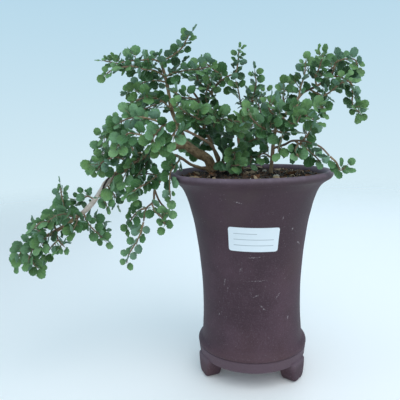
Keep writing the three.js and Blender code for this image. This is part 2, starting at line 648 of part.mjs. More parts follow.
function isClear(leaf, line, way, placed) {
  leaf.points = leafPoints(leaf);
  if (leaf.points.some(inPot)) {
    return false;
  }
  const near = leaf.halfWidth + 6;
  const close = (bead) => bead.point.distanceTo(leaf.middle) < near;
  const own = 5;
  for (const bead of woodBeads.filter(close)) {
    if (touchesBlade(bead.point, bead.radius, leaf)) {
      return false;
    }
  }
  for (const bead of twigBeads.filter(close)) {
    const beside = bead.line === line ? Math.abs(bead.way - way) < own
      : bead.point.distanceTo(leaf.root) < own && bead.line[0].distanceTo(leaf.root) < 2 * own;
    if (!beside && touchesBlade(bead.point, bead.radius, leaf)) {
      return false;
    }
  }
  return !placed.some((other) => leavesClash(leaf, other));
}

// Leaves stand by turns on the two sides of a twig, with one at its tip. One that would touch
// anything is turned about the twig until it is clear, and is left out if no turn clears it.
const TURNS = [0, 0.5, -0.5, 1, -1, 1.5, -1.5, 2.2];
const placed = [];
sprays.forEach((spray, sprayNumber) => {
  spray.lines.forEach((line, lineNumber) => {
    const total = lineLength(line);
    const count = Math.floor((total - FIRST_LEAF) / LEAF_SPACING) + 1;
    for (let k = 0; k <= count; k += 1) {
      const seed = 1000 * sprayNumber + 100 * lineNumber + k;
      const atTip = k === count;
      const way = atTip ? total - 0.4 : FIRST_LEAF + k * LEAF_SPACING;
      const { place, along } = station(line, way);
      const side = atTip ? 0 : 1 - 2 * ((k + lineNumber) % 2);
      const width = THREE.MathUtils.lerp(spray.leaf[0], spray.leaf[1], noise(seed, 6));
      const halfWidth = (width / 2) * (1 - 0.22 * (way / total) ** 2);
      const choices = TURNS.map((turn) => leafAt(place, along, side, halfWidth, seed, turn));
      const leaf = choices.find((choice) => isClear(choice, line, way, placed));
      if (leaf) {
        placed.push(leaf);
        spray.leaves.push(leaf);
      }
    }
  });
});

function spraySolid({ lines, leaves }, wood) {
  const twigs = lines.map((line) => taperedTube(line, twigRadius, 3));
  const blades = leaves.map(leafSolid);
  return [...twigs, ...blades].reduce((sum, piece) => sum.add(piece)).subtract(wood);
}

// Put everything together
const part = new THREE.Group();

function addMesh(name, body, colour, roughness) {
  const material = new THREE.MeshStandardMaterial({ color: colour, roughness, metalness: 0 });
  const mesh = new THREE.Mesh(geometryOf(body), material);
  mesh.name = name;
  part.add(mesh);
}

const grownStems = Object.values(STEMS).map((stem) => stemSolid(stem, GAP));
const allWood = grownStems.reduce((sum, stem) => sum.add(stem));
addMesh('pot', makePot(), COLOURS.pot, 0.8);
addMesh('drain_mesh', makeDrainMesh(), COLOURS.mesh, 0.6);
addMesh('soil', makeSoil().subtract(allWood), COLOURS.soil, 1);
addMesh('label', makeLabel(), COLOURS.label, 0.5);
for (const [name, stem] of Object.entries(STEMS)) {
  addMesh(name, stemSolid(stem), COLOURS.bark, 0.9);
}
for (const spray of sprays) {
  addMesh(`spray_${spray.name}`, spraySolid(spray, allWood), COLOURS.leaf, 0.7);
}

// The origin is at the middle of the whole part's box, on the surface under the feet
const box = new THREE.Box3().setFromObject(part);
const middle = box.getCenter(new THREE.Vector3());
part.position.set(-middle.x, -middle.y, -box.min.z);

export default part;
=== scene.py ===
"""The looks of a grewia bonsai in its tall pot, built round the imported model. Metres, +Z up."""
import math

import bmesh
import bpy
import numpy as np
from mathutils import Matrix, Vector, noise


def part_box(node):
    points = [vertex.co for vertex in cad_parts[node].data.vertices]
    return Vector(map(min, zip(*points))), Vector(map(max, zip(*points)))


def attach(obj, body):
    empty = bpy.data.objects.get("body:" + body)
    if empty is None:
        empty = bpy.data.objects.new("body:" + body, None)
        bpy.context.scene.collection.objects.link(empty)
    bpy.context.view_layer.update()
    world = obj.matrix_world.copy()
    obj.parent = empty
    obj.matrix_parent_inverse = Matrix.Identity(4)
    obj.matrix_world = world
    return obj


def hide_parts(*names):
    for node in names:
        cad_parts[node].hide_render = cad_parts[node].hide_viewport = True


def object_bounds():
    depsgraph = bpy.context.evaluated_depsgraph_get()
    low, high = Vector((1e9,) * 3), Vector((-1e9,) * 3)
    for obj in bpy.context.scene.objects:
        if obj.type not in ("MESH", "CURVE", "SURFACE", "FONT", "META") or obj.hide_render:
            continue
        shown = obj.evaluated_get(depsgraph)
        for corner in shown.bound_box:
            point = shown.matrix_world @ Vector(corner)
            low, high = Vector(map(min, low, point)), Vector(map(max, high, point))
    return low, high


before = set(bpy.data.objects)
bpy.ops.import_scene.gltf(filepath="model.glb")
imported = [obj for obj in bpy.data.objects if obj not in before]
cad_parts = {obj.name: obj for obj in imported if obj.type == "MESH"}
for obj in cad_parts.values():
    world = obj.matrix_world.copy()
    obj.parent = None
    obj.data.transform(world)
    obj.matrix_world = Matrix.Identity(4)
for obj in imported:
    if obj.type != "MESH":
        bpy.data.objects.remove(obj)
cad_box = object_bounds()

# The room
# A wide pale floor that fades into a pale blue-white surround, lit by a large soft lamp above on the
# right, and weaker ones on the left and behind. The camera stands a little above the rim, 0.39 m away.
MM = 0.001
pot_low, pot_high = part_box("pot")
POT_AXIS = Vector(((pot_low.x + pot_high.x) / 2, (pot_low.y + pot_high.y) / 2, 0))
scene = bpy.context.scene
scene.view_settings.view_transform = "Standard"

CAMERA_PLACE = POT_AXIS + Vector((0, -385.3, 212.55)) * MM
CAMERA_YAW = 0.112
CAMERA_PITCH = 0.158
CAMERA_ROLL = -0.028
SENSOR_WIDTH = 36
FOCAL_PIXELS = 451.66
PICTURE_WIDTH = 400

forward = Vector((
    -math.sin(CAMERA_YAW) * math.cos(CAMERA_PITCH),
    math.cos(CAMERA_YAW) * math.cos(CAMERA_PITCH),
    -math.sin(CAMERA_PITCH),
))
level = Vector((math.cos(CAMERA_YAW), math.sin(CAMERA_YAW), 0))
above = level.cross(forward)
camera_right = math.cos(CAMERA_ROLL) * level + math.sin(CAMERA_ROLL) * above
camera_up = math.cos(CAMERA_ROLL) * above - math.sin(CAMERA_ROLL) * level


def new_object(name, data):
    """An object in the scene."""
    made = bpy.data.objects.new(name, data)
    scene.collection.objects.link(made)
    return made


camera_data = bpy.data.cameras.new("camera")
camera_data.sensor_width = SENSOR_WIDTH
camera_data.lens = SENSOR_WIDTH * FOCAL_PIXELS / PICTURE_WIDTH
camera_data.clip_start = 0.01
camera = new_object("camera", camera_data)
camera.matrix_world = Matrix.Translation(CAMERA_PLACE) @ Matrix((
    camera_right, camera_up, -forward)).transposed().to_4x4()
scene.camera = camera

# Each lamp: its place from the pot's foot, width, power and colour
LAMP_AIM = POT_AXIS + Vector((-0.02, 0, 0.15))
LAMPS = {
    "key_lamp": ((0.40, -0.60, 1.10), 1.4, 7.9, (1, 0.99, 0.97)),
    "side_lamp": ((-1.1, -0.35, 0.75), 0.7, 1.2, (0.95, 0.98, 1)),
    "back_lamp": ((0.3, 0.9, 0.9), 0.8, 1.5, (0.95, 0.98, 1)),
}
for name, (offset, size, power, colour) in LAMPS.items():
    data = bpy.data.lights.new(name, "AREA")
    data.shape = "DISK"
    data.size = size
    data.energy = power
    data.color = colour
    lamp = new_object(name, data)
    lamp_place = POT_AXIS + Vector(offset)
    lamp.location = lamp_place
    lamp.rotation_euler = (LAMP_AIM - lamp_place).to_track_quat("-Z", "Y").to_euler()


def join(value, socket):
    """Links an output to a socket, or sets the socket's own value."""
    if isinstance(value, bpy.types.NodeSocket):
        socket.id_data.links.new(value, socket)
    else:
        socket.default_value = value


def new_node(tree, kind, settings=None, inputs=None):
    """A node with its settings and inputs."""
    node = tree.nodes.new(kind)
    for key, value in (settings or {}).items():
        setattr(node, key, value)
    for key, value in (inputs or {}).items():
        join(value, node.inputs[key])
    return node


def axis_of(vector, axis):
    """One axis of a vector."""
    return new_node(vector.id_data, "ShaderNodeSeparateXYZ", None, {0: vector}).outputs[axis]


def ranged(value, low, high, to_low=0.0, to_high=1.0, curve="SMOOTHSTEP"):
    """A value carried from one range to another, and held to its ends."""
    node = new_node(value.id_data, "ShaderNodeMapRange", {"interpolation_type": curve}, {
        "Value": value, "From Min": low, "From Max": high, "To Min": to_low, "To Max": to_high})
    return node.outputs["Result"]


def blend(factor, low, high):
    """Colours mixed by a factor."""
    node = new_node(factor.id_data, "ShaderNodeMix", {"data_type": "RGBA"}, {
        "Factor": factor, "A": low, "B": high})
    return node.outputs["Result"]


def reckon_vectors(operation, *vectors):
    """One sum on vectors, or the length of one."""
    tree = vectors[0].id_data
    node = new_node(tree, "ShaderNodeVectorMath", {"operation": operation}, dict(enumerate(vectors)))
    return node.outputs["Value" if operation == "LENGTH" else "Vector"]


def finish(name):
    """A new material, its Principled shader, and the place on the object that its patterns follow."""
    material = bpy.data.materials.new(name)
    material.use_nodes = True
    tree = material.node_tree
    place = new_node(tree, "ShaderNodeTexCoord").outputs["Object"]
    return material, tree.nodes["Principled BSDF"], place


SURROUND_HIGH = (0.46, 0.68, 0.82, 1)
SURROUND_LOW = (0.74, 0.89, 0.95, 1)
world = bpy.data.worlds.new("surround")
world.use_nodes = True
scene.world = world
background = world.node_tree.nodes["Background"]
background.inputs["Strength"].default_value = 1.0
direction = new_node(world.node_tree, "ShaderNodeTexCoord").outputs["Generated"]
fade = ranged(axis_of(direction, "Z"), -0.25, 0.30, curve="LINEAR")
join(blend(fade, SURROUND_LOW, SURROUND_HIGH), background.inputs["Color"])

FLOOR_RADIUS = 1.6
FLOOR_SOLID = 0.45
FLOOR_SHADED_LEFT = (0.78, 0.74, 0.725, 1)
FLOOR_LIT_RIGHT = (0.97, 0.92, 0.90, 1)
FLOOR_GLOW = (1, 0.95, 0.92, 1)
floor_mesh = bmesh.new()
bmesh.ops.create_circle(floor_mesh, cap_ends=True, radius=FLOOR_RADIUS, segments=96)
floor_data = bpy.data.meshes.new("floor")
floor_mesh.to_mesh(floor_data)
floor_mesh.free()
floor_data.transform(Matrix.Translation(POT_AXIS))
floor = new_object("floor", floor_data)
floor_material, shader, place = finish("pale_floor")
shader.inputs["Emission Color"].default_value = FLOOR_GLOW
shader.inputs["Emission Strength"].default_value = 0.05
shader.inputs["Roughness"].default_value = 0.6
# The floor is painted darker towards the left and lighter towards the right, as painted shade and light
rightwards = ranged(axis_of(place, "X"), -0.45, 0.05)
join(blend(rightwards, FLOOR_SHADED_LEFT, FLOOR_LIT_RIGHT), shader.inputs["Base Color"])
distance = reckon_vectors("LENGTH", reckon_vectors("SUBTRACT", place, POT_AXIS))
join(ranged(distance, FLOOR_SOLID, FLOOR_RADIUS, 1, 0), shader.inputs["Alpha"])
floor_data.materials.append(floor_material)

# The pot
# Tall cascade pot of dark purple-brown stoneware, thrown on a wheel and left unglazed, with a rolled
# rim, a swollen foot ring and three tongue-shaped feet set on under it. It has pale scuffs on the wall.
POT_SIDES = 160
BASE_HEIGHT = 15.5
FLOOR_HEIGHT = 22.5
POT_WALL = [
    (44.7, BASE_HEIGHT), (45.8, 15.8), (46.3, 16.8), (46.5, 18.6), (46.8, 21), (47.1, 23.2), (47.1, 24.1),
    (46.3, 24.9), (47, 25.4), (47.4, 25.9), (47.5, 26.8), (47.3, 28), (46.6, 29.2), (45.4, 30.3),
    (44.4, 31.4), (43.8, 33), (43.4, 36), (43.1, 41), (42.5, 52), (42.4, 63), (42.5, 74.5), (43, 85.5),
    (43.9, 96.5), (44.9, 107.5), (46.3, 118), (47.9, 129), (49.2, 136), (50.8, 142.5), (52.7, 150),
    (54.9, 156.5), (56.4, 160), (58.6, 163.8), (61.4, 166.6), (64.6, 168.8), (66.2, 169.7), (67.1, 170.4),
    (68.1, 171.8), (68.45, 173.3), (68.1, 174.7), (67.1, 175.7), (65.6, 176), (64, 175.6), (62.6, 174.4),
    (60.4, 171.5), (57.5, 166), (50.2, 152), (42.6, 124), (38, 82), (37.2, 40), (37, FLOOR_HEIGHT),
]
DRAIN_RADIUS = 11
FLOOR_MIDDLE = 28
FOOT_COUNT = 3
FOOT_TURN = math.radians(87)
FOOT_INNER = 33.5
FOOT_OUTER = 47.4
FOOT_EDGE = 2.6
FOOT_HALF = [(4.2, 0), (6.2, 1.0), (7.8, 2.9), (9.0, 5.6), (9.8, 8.8), (10.3, 12.6), (10.8, 18.5)]


def smooth_line(points, steps):
    """A Catmull-Rom line through the points, with some steps between each pair."""
    points = [np.array(point, float) for point in points]
    padded = [2 * points[0] - points[1], *points, 2 * points[-1] - points[-2]]
    line = []
    for before, start, end, after in zip(padded, padded[1:], padded[2:], padded[3:]):
        for k in range(steps):
            t = k / steps
            line.append(0.5 * (2 * start + (end - before) * t
                               + (2 * before - 5 * start + 4 * end - after) * t * t
                               + (3 * start - before - 3 * end + after) * t ** 3))
    line.append(points[-1])
    return line


def new_piece(name, vertices, faces, edges=()):
    """An object at the origin from vertices in millimetres round the pot's axis."""
    data = bpy.data.meshes.new(name)
    data.from_pydata([POT_AXIS + Vector(vertex) * MM for vertex in vertices], edges, faces)
    data.update()
    return new_object(name, data)


def round_spot(radius, k, sides):
    """Where a step of a circle lies."""
    angle = 2 * math.pi * k / sides
    return radius * math.cos(angle), radius * math.sin(angle)


def ring_faces(low, high, sides, flipped=False):
    """The faces between two rings of vertices, by the number of each ring's first vertex."""
    faces = []
    for k in range(sides):
        after = (k + 1) % sides
        face = (low + k, low + after, high + after, high + k)
        faces.append(face[:1] + face[:0:-1] if flipped else face)
    return faces


def lathe(profile, sides):
    """Vertices and faces of a closed profile of (radius, height) turned about the axis."""
    vertices = [(*round_spot(radius, k, sides), height) for radius, height in profile for k in range(sides)]
    faces = []
    for i in range(len(profile)):
        faces += ring_faces(i * sides, (i + 1) % len(profile) * sides, sides)
    return vertices, faces


def foot(angle):
    """One foot: a tongue-shaped outline as deep as the foot ring, with rounded edges."""
    outline = [(-x, z) for x, z in reversed(FOOT_HALF)] + FOOT_HALF
    form = bmesh.new()
    near = [form.verts.new((x, FOOT_OUTER, z)) for x, z in outline]
    base = form.faces.new(near)
    made = bmesh.ops.extrude_face_region(form, geom=[base])
    moved = [item for item in made["geom"] if isinstance(item, bmesh.types.BMVert)]
    bmesh.ops.translate(form, verts=moved, vec=(0, FOOT_INNER - FOOT_OUTER, 0))
    bmesh.ops.recalc_face_normals(form, faces=form.faces)
    corners = [edge for edge in form.edges if edge.calc_face_angle(0) > math.radians(40)]
    bmesh.ops.bevel(form, geom=corners, offset=FOOT_EDGE, segments=6, profile=0.5, affect="EDGES")
    bmesh.ops.recalc_face_normals(form, faces=form.faces)
    bmesh.ops.triangulate(form, faces=[face for face in form.faces if len(face.verts) > 4])
    form.transform(Matrix.Rotation(angle - math.pi / 2, 4, "Z"))
    form.verts.ensure_lookup_table()
    vertices = [tuple(vertex.co) for vertex in form.verts]
    faces = [tuple(vertex.index for vertex in face.verts) for face in form.faces]
    form.free()
    return vertices, faces


def gather(shells):
    """Several (vertices, faces) pairs as one."""
    vertices = []
    faces = []
    for shell_vertices, shell_faces in shells:
        start = len(vertices)
        vertices.extend(shell_vertices)
        faces.extend(tuple(start + index for index in face) for face in shell_faces)
    return vertices, faces


def outwards(piece):
    """Turns every face of closed shells to point out."""
    form = bmesh.new()
    form.from_mesh(piece.data)
    bmesh.ops.recalc_face_normals(form, faces=form.faces)
    form.to_mesh(piece.data)
    form.free()


def shade(piece, degrees=None):
    """Smooth shading, with edges sharper than an angle kept."""
    piece.data.shade_smooth()
    if degrees is not None:
        piece.data.set_sharp_from_angle(angle=math.radians(degrees))


wall_line = [tuple(point) for point in smooth_line(POT_WALL, 3)]
widest = max(range(len(wall_line)), key=lambda i: wall_line[i][0])
pot_profile = [(DRAIN_RADIUS, BASE_HEIGHT), (FLOOR_MIDDLE, BASE_HEIGHT), *wall_line,
               (FLOOR_MIDDLE, FLOOR_HEIGHT), (DRAIN_RADIUS, FLOOR_HEIGHT)]
feet = [foot(FOOT_TURN + 2 * math.pi * k / FOOT_COUNT) for k in range(FOOT_COUNT)]
pot = new_piece("stoneware_pot", *gather([lathe(pot_profile, POT_SIDES), *feet]))
outwards(pot)
shade(pot, 50)

# Each scuff: angle round the wall in degrees, height, lean in degrees, length and width in millimetres
SCUFFS = [
    (-99, 157, -18, 7, 1.2), (-61, 143.5, 70, 2.4, 1), (-48, 133, 60, 3, 1.6), (-35, 119.5, -35, 6, 2),
    (-119, 90, 75, 6, 1.3), (-116, 84, 80, 4, 1.1), (-85, 80, 25, 7, 1), (-52, 92.5, 62, 2.2, 1.2),
    (-60, 79, 48, 6, 1.4), (-77, 69.5, -50, 6, 1.1), (-46, 57.5, 70, 4, 1.6), (-101, 101, 85, 5, 0.7),
    (-85, 112.5, 4, 14, 0.6), (-84, 92.8, 3, 15, 0.5), (-99, 104, 88, 9, 0.5), (-128, 61, 60, 3, 1),
    (62, 120, -40, 6, 1.3), (110, 70, 60, 5, 1.2), (150, 101, 20, 7, 1), (30, 48, -65, 5, 1.4),
    (178, 139, 50, 4, 1.4),
]
POT_DARK = (0.056, 0.028, 0.037, 1)
POT_LIGHT = (0.094, 0.050, 0.065, 1)
POT_WARM = (0.094, 0.046, 0.047, 1)
POT_BLOOM_AND_PAINTED_LIGHT = (0.18, 0.125, 0.155, 1)
POT_DUST = (0.078, 0.054, 0.049, 1)
POT_UPPER_SHADE = (0.050, 0.029, 0.036, 1)
PIT_COLOUR = (0.022, 0.012, 0.016, 1)
SCUFF_COLOUR = (0.36, 0.30, 0.31, 1)
WHEEL_DRAW = (6, 6, 420)
SCUFF_SHAKE = 0.0016


def wall_radius(height):
    """Radius of the pot's outside at a height."""
    outside = wall_line[:widest + 1]
    return float(np.interp(height, [z for r, z in outside], [r for r, z in outside]))


def mottle(place, scale, detail=3.0, roughness=0.55):
    """A noise value at a place."""
    return new_node(place.id_data, "ShaderNodeTexNoise", None, {
        "Vector": place, "Scale": scale, "Detail": detail, "Roughness": roughness}).outputs["Fac"]


def stretched(place, scale):
    """A place with its axes scaled."""
    return new_node(place.id_data, "ShaderNodeMapping", None, {"Vector": place, "Scale": scale}).outputs[0]


def reckon(operation, first, second=0.0):
    """One sum on two values."""
    tree = (first if isinstance(first, bpy.types.NodeSocket) else second).id_data
    return new_node(tree, "ShaderNodeMath", {"operation": operation}, {0: first, 1: second}).outputs[0]


def times(first, second):
    return reckon("MULTIPLY", first, second)


def laid_over(colour, over, pattern, low, high, amount=1.0):
    """A colour laid over another where a pattern passes from low to high."""
    return blend(ranged(pattern, low, high, 0, amount), colour, over)


def specks(place, scale, inner, outer, patches, low, high):
    """Small round specks in some patches alone."""
    cells = new_node(place.id_data, "ShaderNodeTexVoronoi", None, {"Vector": place, "Scale": scale})
    dots = ranged(cells.outputs["Distance"], inner, outer, 1, 0)
    return times(dots, ranged(mottle(place, patches, 1), low, high))


def raised(shader, height, strength, distance):
    """A small relief on a finish."""
    bump = new_node(shader.id_data, "ShaderNodeBump", None, {
        "Height": height, "Strength": strength, "Distance": distance})
    join(bump.outputs["Normal"], shader.inputs["Normal"])


pot_material, shader, place = finish("unglazed_stoneware")
clouds = mottle(place, 22, 4)
colour = laid_over(POT_DARK, POT_LIGHT, clouds, 0.35, 0.68)
colour = laid_over(colour, POT_WARM, mottle(place, 9, 2), 0.52, 0.72, 0.7)
fine = mottle(place, 900, 2)
colour = laid_over(colour, POT_BLOOM_AND_PAINTED_LIGHT, fine, 0.50, 0.75, 0.26)
colour = laid_over(colour, PIT_COLOUR, mottle(place, 1500, 2), 0.56, 0.72, 0.45)

# Wheel marks: noise drawn out round the pot, so it changes only with height
wheel = mottle(stretched(place, WHEEL_DRAW), 1, 3, 0.6)
colour = laid_over(colour, POT_LIGHT, wheel, 0.5, 0.8, 0.25)

# Painted shade on the upper wall, with dust patches there, a painted highlight on the rim's crest and painted
# bounce light on the foot ring
height = axis_of(place, "Z")
colour = laid_over(colour, POT_UPPER_SHADE, height, 0.06, 0.15, 0.45)
dust = times(ranged(height, 0.07, 0.15, 0, 0.55), ranged(mottle(place, 12, 3), 0.46, 0.62))
colour = blend(dust, colour, POT_DUST)
# A painted highlight along the rim's crest
crest_highlight = times(ranged(height, 0.1715, 0.1755), ranged(mottle(place, 70, 3), 0.3, 0.7, 0.45, 1))
colour = blend(crest_highlight, colour, POT_BLOOM_AND_PAINTED_LIGHT)
# Painted bounce light from the floor on the foot ring
ring = times(ranged(height, 0.0244, 0.0252, 1, 0), ranged(height, 0.010, 0.017))
colour = blend(times(ring, 0.34), colour, POT_BLOOM_AND_PAINTED_LIGHT)

# Tiny pale grog specks
grog = specks(place, 420, 0.10, 0.2, 160, 0.56, 0.62)
colour = blend(times(grog, 0.25), colour, SCUFF_COLOUR)

# Scuffs, each a short ragged stroke on the wall
shake = new_node(place.id_data, "ShaderNodeTexNoise", None, {"Vector": place, "Scale": 900, "Detail": 2})
shaken = reckon_vectors("MULTIPLY_ADD", shake.outputs["Color"], (SCUFF_SHAKE,) * 3, place)
scuffed = 0.0
for turn, level_z, lean, length, width in SCUFFS:
    turn = math.radians(turn)
    radius = wall_radius(level_z)
    middle = POT_AXIS + Vector((radius * math.cos(turn), radius * math.sin(turn), level_z)) * MM
    lie = Matrix.Rotation(turn + math.pi / 2, 4, "Z") @ Matrix.Rotation(-math.radians(lean), 4, "Y")
    local = new_node(place.id_data, "ShaderNodeMapping", {"vector_type": "TEXTURE"}, {
        "Vector": shaken, "Location": middle + Vector((SCUFF_SHAKE / 2,) * 3), "Rotation": lie.to_euler(),
        "Scale": (length * MM * 0.6, 3 * MM, width * MM * 0.5)})
    stroke = ranged(reckon_vectors("LENGTH", local.outputs[0]), 0.35, 1.1, 1, 0)
    scuffed = reckon("MAXIMUM", scuffed, stroke)
scuffed = times(scuffed, ranged(mottle(place, 950, 3), 0.42, 0.60))
colour = blend(times(scuffed, 0.80), colour, SCUFF_COLOUR)
join(colour, shader.inputs["Base Color"])
roughness = ranged(clouds, 0.3, 0.7, 0.52, 0.68)
join(reckon("ADD", roughness, times(scuffed, 0.2)), shader.inputs["Roughness"])
shader.inputs["Specular IOR Level"].default_value = 0.22
grain = reckon("ADD", times(fine, 0.35), times(wheel, 0.5))
raised(shader, reckon("ADD", grain, times(scuffed, 0.25)), 0.35, 0.0005)
pot.data.materials.append(pot_material)
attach(pot, "root")
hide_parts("pot")

# The drain mesh
# A disc of black plastic net over the drain hole, under the soil, that keeps the soil in.
net_low, net_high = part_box("drain_mesh")
NET_PITCH = 2.6
NET_STRAND = 0.9
NET_DARK = (0.02, 0.021, 0.022, 1)
NET_DUST = (0.09, 0.075, 0.06, 1)
net_radius = (net_high.x - net_low.x) / 2 / MM
net_height = (net_low.z + net_high.z) / 2 / MM
net_count = int(net_radius / NET_PITCH)
net_cells = [
    (i, j) for i in range(-net_count, net_count) for j in range(-net_count, net_count)
    if math.hypot(i + 0.5, j + 0.5) * NET_PITCH < net_radius - NET_PITCH * 0.75
]
corner_numbers = {}
net_faces = []
for i, j in net_cells:
    cell = [(i, j), (i + 1, j), (i + 1, j + 1), (i, j + 1)]
    net_faces.append(tuple(corner_numbers.setdefault(corner, len(corner_numbers)) for corner in cell))
net_spots = [(x * NET_PITCH, y * NET_PITCH, net_height) for x, y in corner_numbers]
net = new_piece("drain_net", net_spots, net_faces)
strands = net.modifiers.new("strands", "WIREFRAME")
strands.thickness = NET_STRAND * MM
net_material, shader, place = finish("black_net_plastic")
dusty = ranged(mottle(place, 260, 3), 0.45, 0.7)
join(blend(dusty, NET_DARK, NET_DUST), shader.inputs["Base Color"])
join(ranged(dusty, 0, 1, 0.45, 0.8), shader.inputs["Roughness"])
net.data.materials.append(net_material)
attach(net, "root")
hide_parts("drain_mesh")

# The soil
# Dark potting soil to just under the rim, with a low lumpy top. It carries loose bits of orange-brown
# bark, tan grit and small crumbs, which lie on it at every angle.
SOIL_EDGE = 171.2
SOIL_MOUND = 3.2
SOIL_RADIUS = 59.4
SOIL_SIDE = [(36.3, 22.9), (37.3, 82), (41.9, 124), (49.5, 152), (58.6, 170.2)]
SOIL_SIDES = 220
SOIL_RINGS = 60
CRUMB_HEIGHT = 0.55
SOIL_DARK = (0.006, 0.0045, 0.004, 1)
SOIL_BROWN = (0.045, 0.028, 0.018, 1)
SOIL_FIBRE = (0.15, 0.065, 0.028, 1)
SOIL_GRIT = (0.34, 0.26, 0.17, 1)
soil_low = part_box("soil")[0].z / MM


def soil_top(x, y):
    """Height of the soil's top, as in the solid: a low mound with lumps."""
    across = math.hypot(x, y) / SOIL_RADIUS
    lumps = math.sin(0.31 * x + 1.3) * math.cos(0.27 * y - 0.4) + 0.5 * math.sin(0.5 * x - 0.43 * y)
    return SOIL_EDGE + SOIL_MOUND * (1 - across ** 2) + 0.55 * max(0, 1 - across ** 6) * lumps


def crumbled(x, y):
    """The soil's top with its crumbs."""
    spot = Vector((x, y, 3))
    crumbs = noise.fractal(spot * 0.55, 0.7, 2.1, 4) + 0.6 * abs(noise.noise(spot * 1.4))
    return soil_top(x, y) + CRUMB_HEIGHT * crumbs


soil_side = [(34, soil_low), *SOIL_SIDE]
soil_vertices = [(0, 0, soil_low)]
for radius, level_z in soil_side:
    soil_vertices += [(*round_spot(radius, k, SOIL_SIDES), level_z) for k in range(SOIL_SIDES)]
top_spots = [round_spot(SOIL_RADIUS * (1 - i / SOIL_RINGS), k, SOIL_SIDES)
             for i in range(SOIL_RINGS) for k in range(SOIL_SIDES)]
soil_vertices += [(x, y, crumbled(x, y)) for x, y in [*top_spots, (0, 0)]]
ring_starts = [1 + i * SOIL_SIDES for i in range(len(soil_side) + SOIL_RINGS)]
soil_faces = []
for low, high in zip(ring_starts, ring_starts[1:]):
    soil_faces += ring_faces(low, high, SOIL_SIDES)
for k in range(SOIL_SIDES):
    after = (k + 1) % SOIL_SIDES
    soil_faces.append((0, 1 + after, 1 + k))
    soil_faces.append((ring_starts[-1] + k, ring_starts[-1] + after, len(soil_vertices) - 1))
soil = new_piece("potting_soil", soil_vertices, soil_faces)
shade(soil)

soil_material, shader, place = finish("potting_soil")
crumb = mottle(place, 650, 5, 0.7)
colour = laid_over(SOIL_DARK, SOIL_BROWN, crumb, 0.38, 0.62)
colour = laid_over(colour, SOIL_FIBRE, mottle(place, 300, 4), 0.56, 0.7, 0.85)
colour = blend(specks(place, 520, 0.15, 0.3, 210, 0.6, 0.68), colour, SOIL_GRIT)
join(colour, shader.inputs["Base Color"])
shader.inputs["Roughness"].default_value = 0.92
raised(shader, crumb, 0.8, 0.0012)
soil.data.materials.append(soil_material)
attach(soil, "root")
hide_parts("soil")

# Bits on the soil: a Geometry Nodes tree strews a few bits over a copy of the soil's top
BIT_COLOURS = [
    (0.0, (0.016, 0.010, 0.007, 1)), (0.38, (0.055, 0.026, 0.013, 1)), (0.6, (0.17, 0.068, 0.026, 1)),
    (0.78, (0.11, 0.05, 0.022, 1)), (0.9, (0.36, 0.25, 0.15, 1)), (0.985, (0.60, 0.55, 0.46, 1)),
]
BIT_STREAK = (0.02, 0.012, 0.008, 1)


def carried(place, title, output="Fac"):
    """A value that the mesh carries."""
    return new_node(place.id_data, "ShaderNodeAttribute", {"attribute_name": title}).outputs[output]


def toned(value, stops, curve="LINEAR"):
    """The colour that a value has on a ramp of (value, colour) stops."""
    node = new_node(value.id_data, "ShaderNodeValToRGB", None, {"Fac": value})
    ramp = node.color_ramp
    ramp.interpolation = curve
    for number, (stop, tone) in enumerate(stops):
        element = ramp.elements[number] if number < 2 else ramp.elements.new(stop)
        element.position = stop
        element.color = tone
    return node.outputs["Color"]


bits_material, shader, place = finish("bark_and_grit")
streaks = mottle(place, 1400, 4)
colour = toned(carried(place, "bit_tone"), BIT_COLOURS, "CONSTANT")
colour = laid_over(colour, BIT_STREAK, streaks, 0.35, 0.7, 0.4)
join(colour, shader.inputs["Base Color"])
shader.inputs["Roughness"].default_value = 0.85
raised(shader, streaks, 0.6, 0.0004)


def steady(first, second):
    """A steady number from 0 to 1 for a pair of whole numbers."""
    value = math.sin(first * 12.9898 + second * 78.233) * 43758.5453
    return value - math.floor(value)


BIT_ROUGHNESS = 0.9


def soil_bit(name, seed, size, rounds):
    """A small broken lump or flake, about one millimetre across at size 1."""
    form = bmesh.new()
    bmesh.ops.create_icosphere(form, subdivisions=rounds, radius=0.5 * MM)
    for vertex in form.verts:
        vertex.co *= 1 + BIT_ROUGHNESS * noise.noise(vertex.co * 1900 + Vector((seed, 0, 0)))
        vertex.co = Vector((vertex.co.x * size[0], vertex.co.y * size[1], vertex.co.z * size[2]))
    data = bpy.data.meshes.new(name)
    form.to_mesh(data)
    form.free()
    return new_object(name, data)


# The sizes of each kind of bit: length, width and height
BITS = [
    (1.9, 1.1, 0.45), (1.3, 0.8, 0.7), (2.6, 0.7, 0.4), (1.0, 0.9, 0.8), (0.7, 0.6, 0.6), (1.5, 1.3, 0.35),
]
CHIPS = [(4.6, 2.1, 0.8), (3.4, 2.4, 0.7), (5.6, 1.7, 0.8), (2.9, 1.6, 1.1), (3.8, 1.2, 0.9), (2.4, 2.2, 0.8)]
STONES = [
    (2.4, 2.0, 1.6), (3.0, 2.1, 1.5), (1.8, 1.6, 1.4), (2.1, 1.9, 1.7), (2.7, 1.8, 1.5), (2.2, 1.6, 1.2),
]


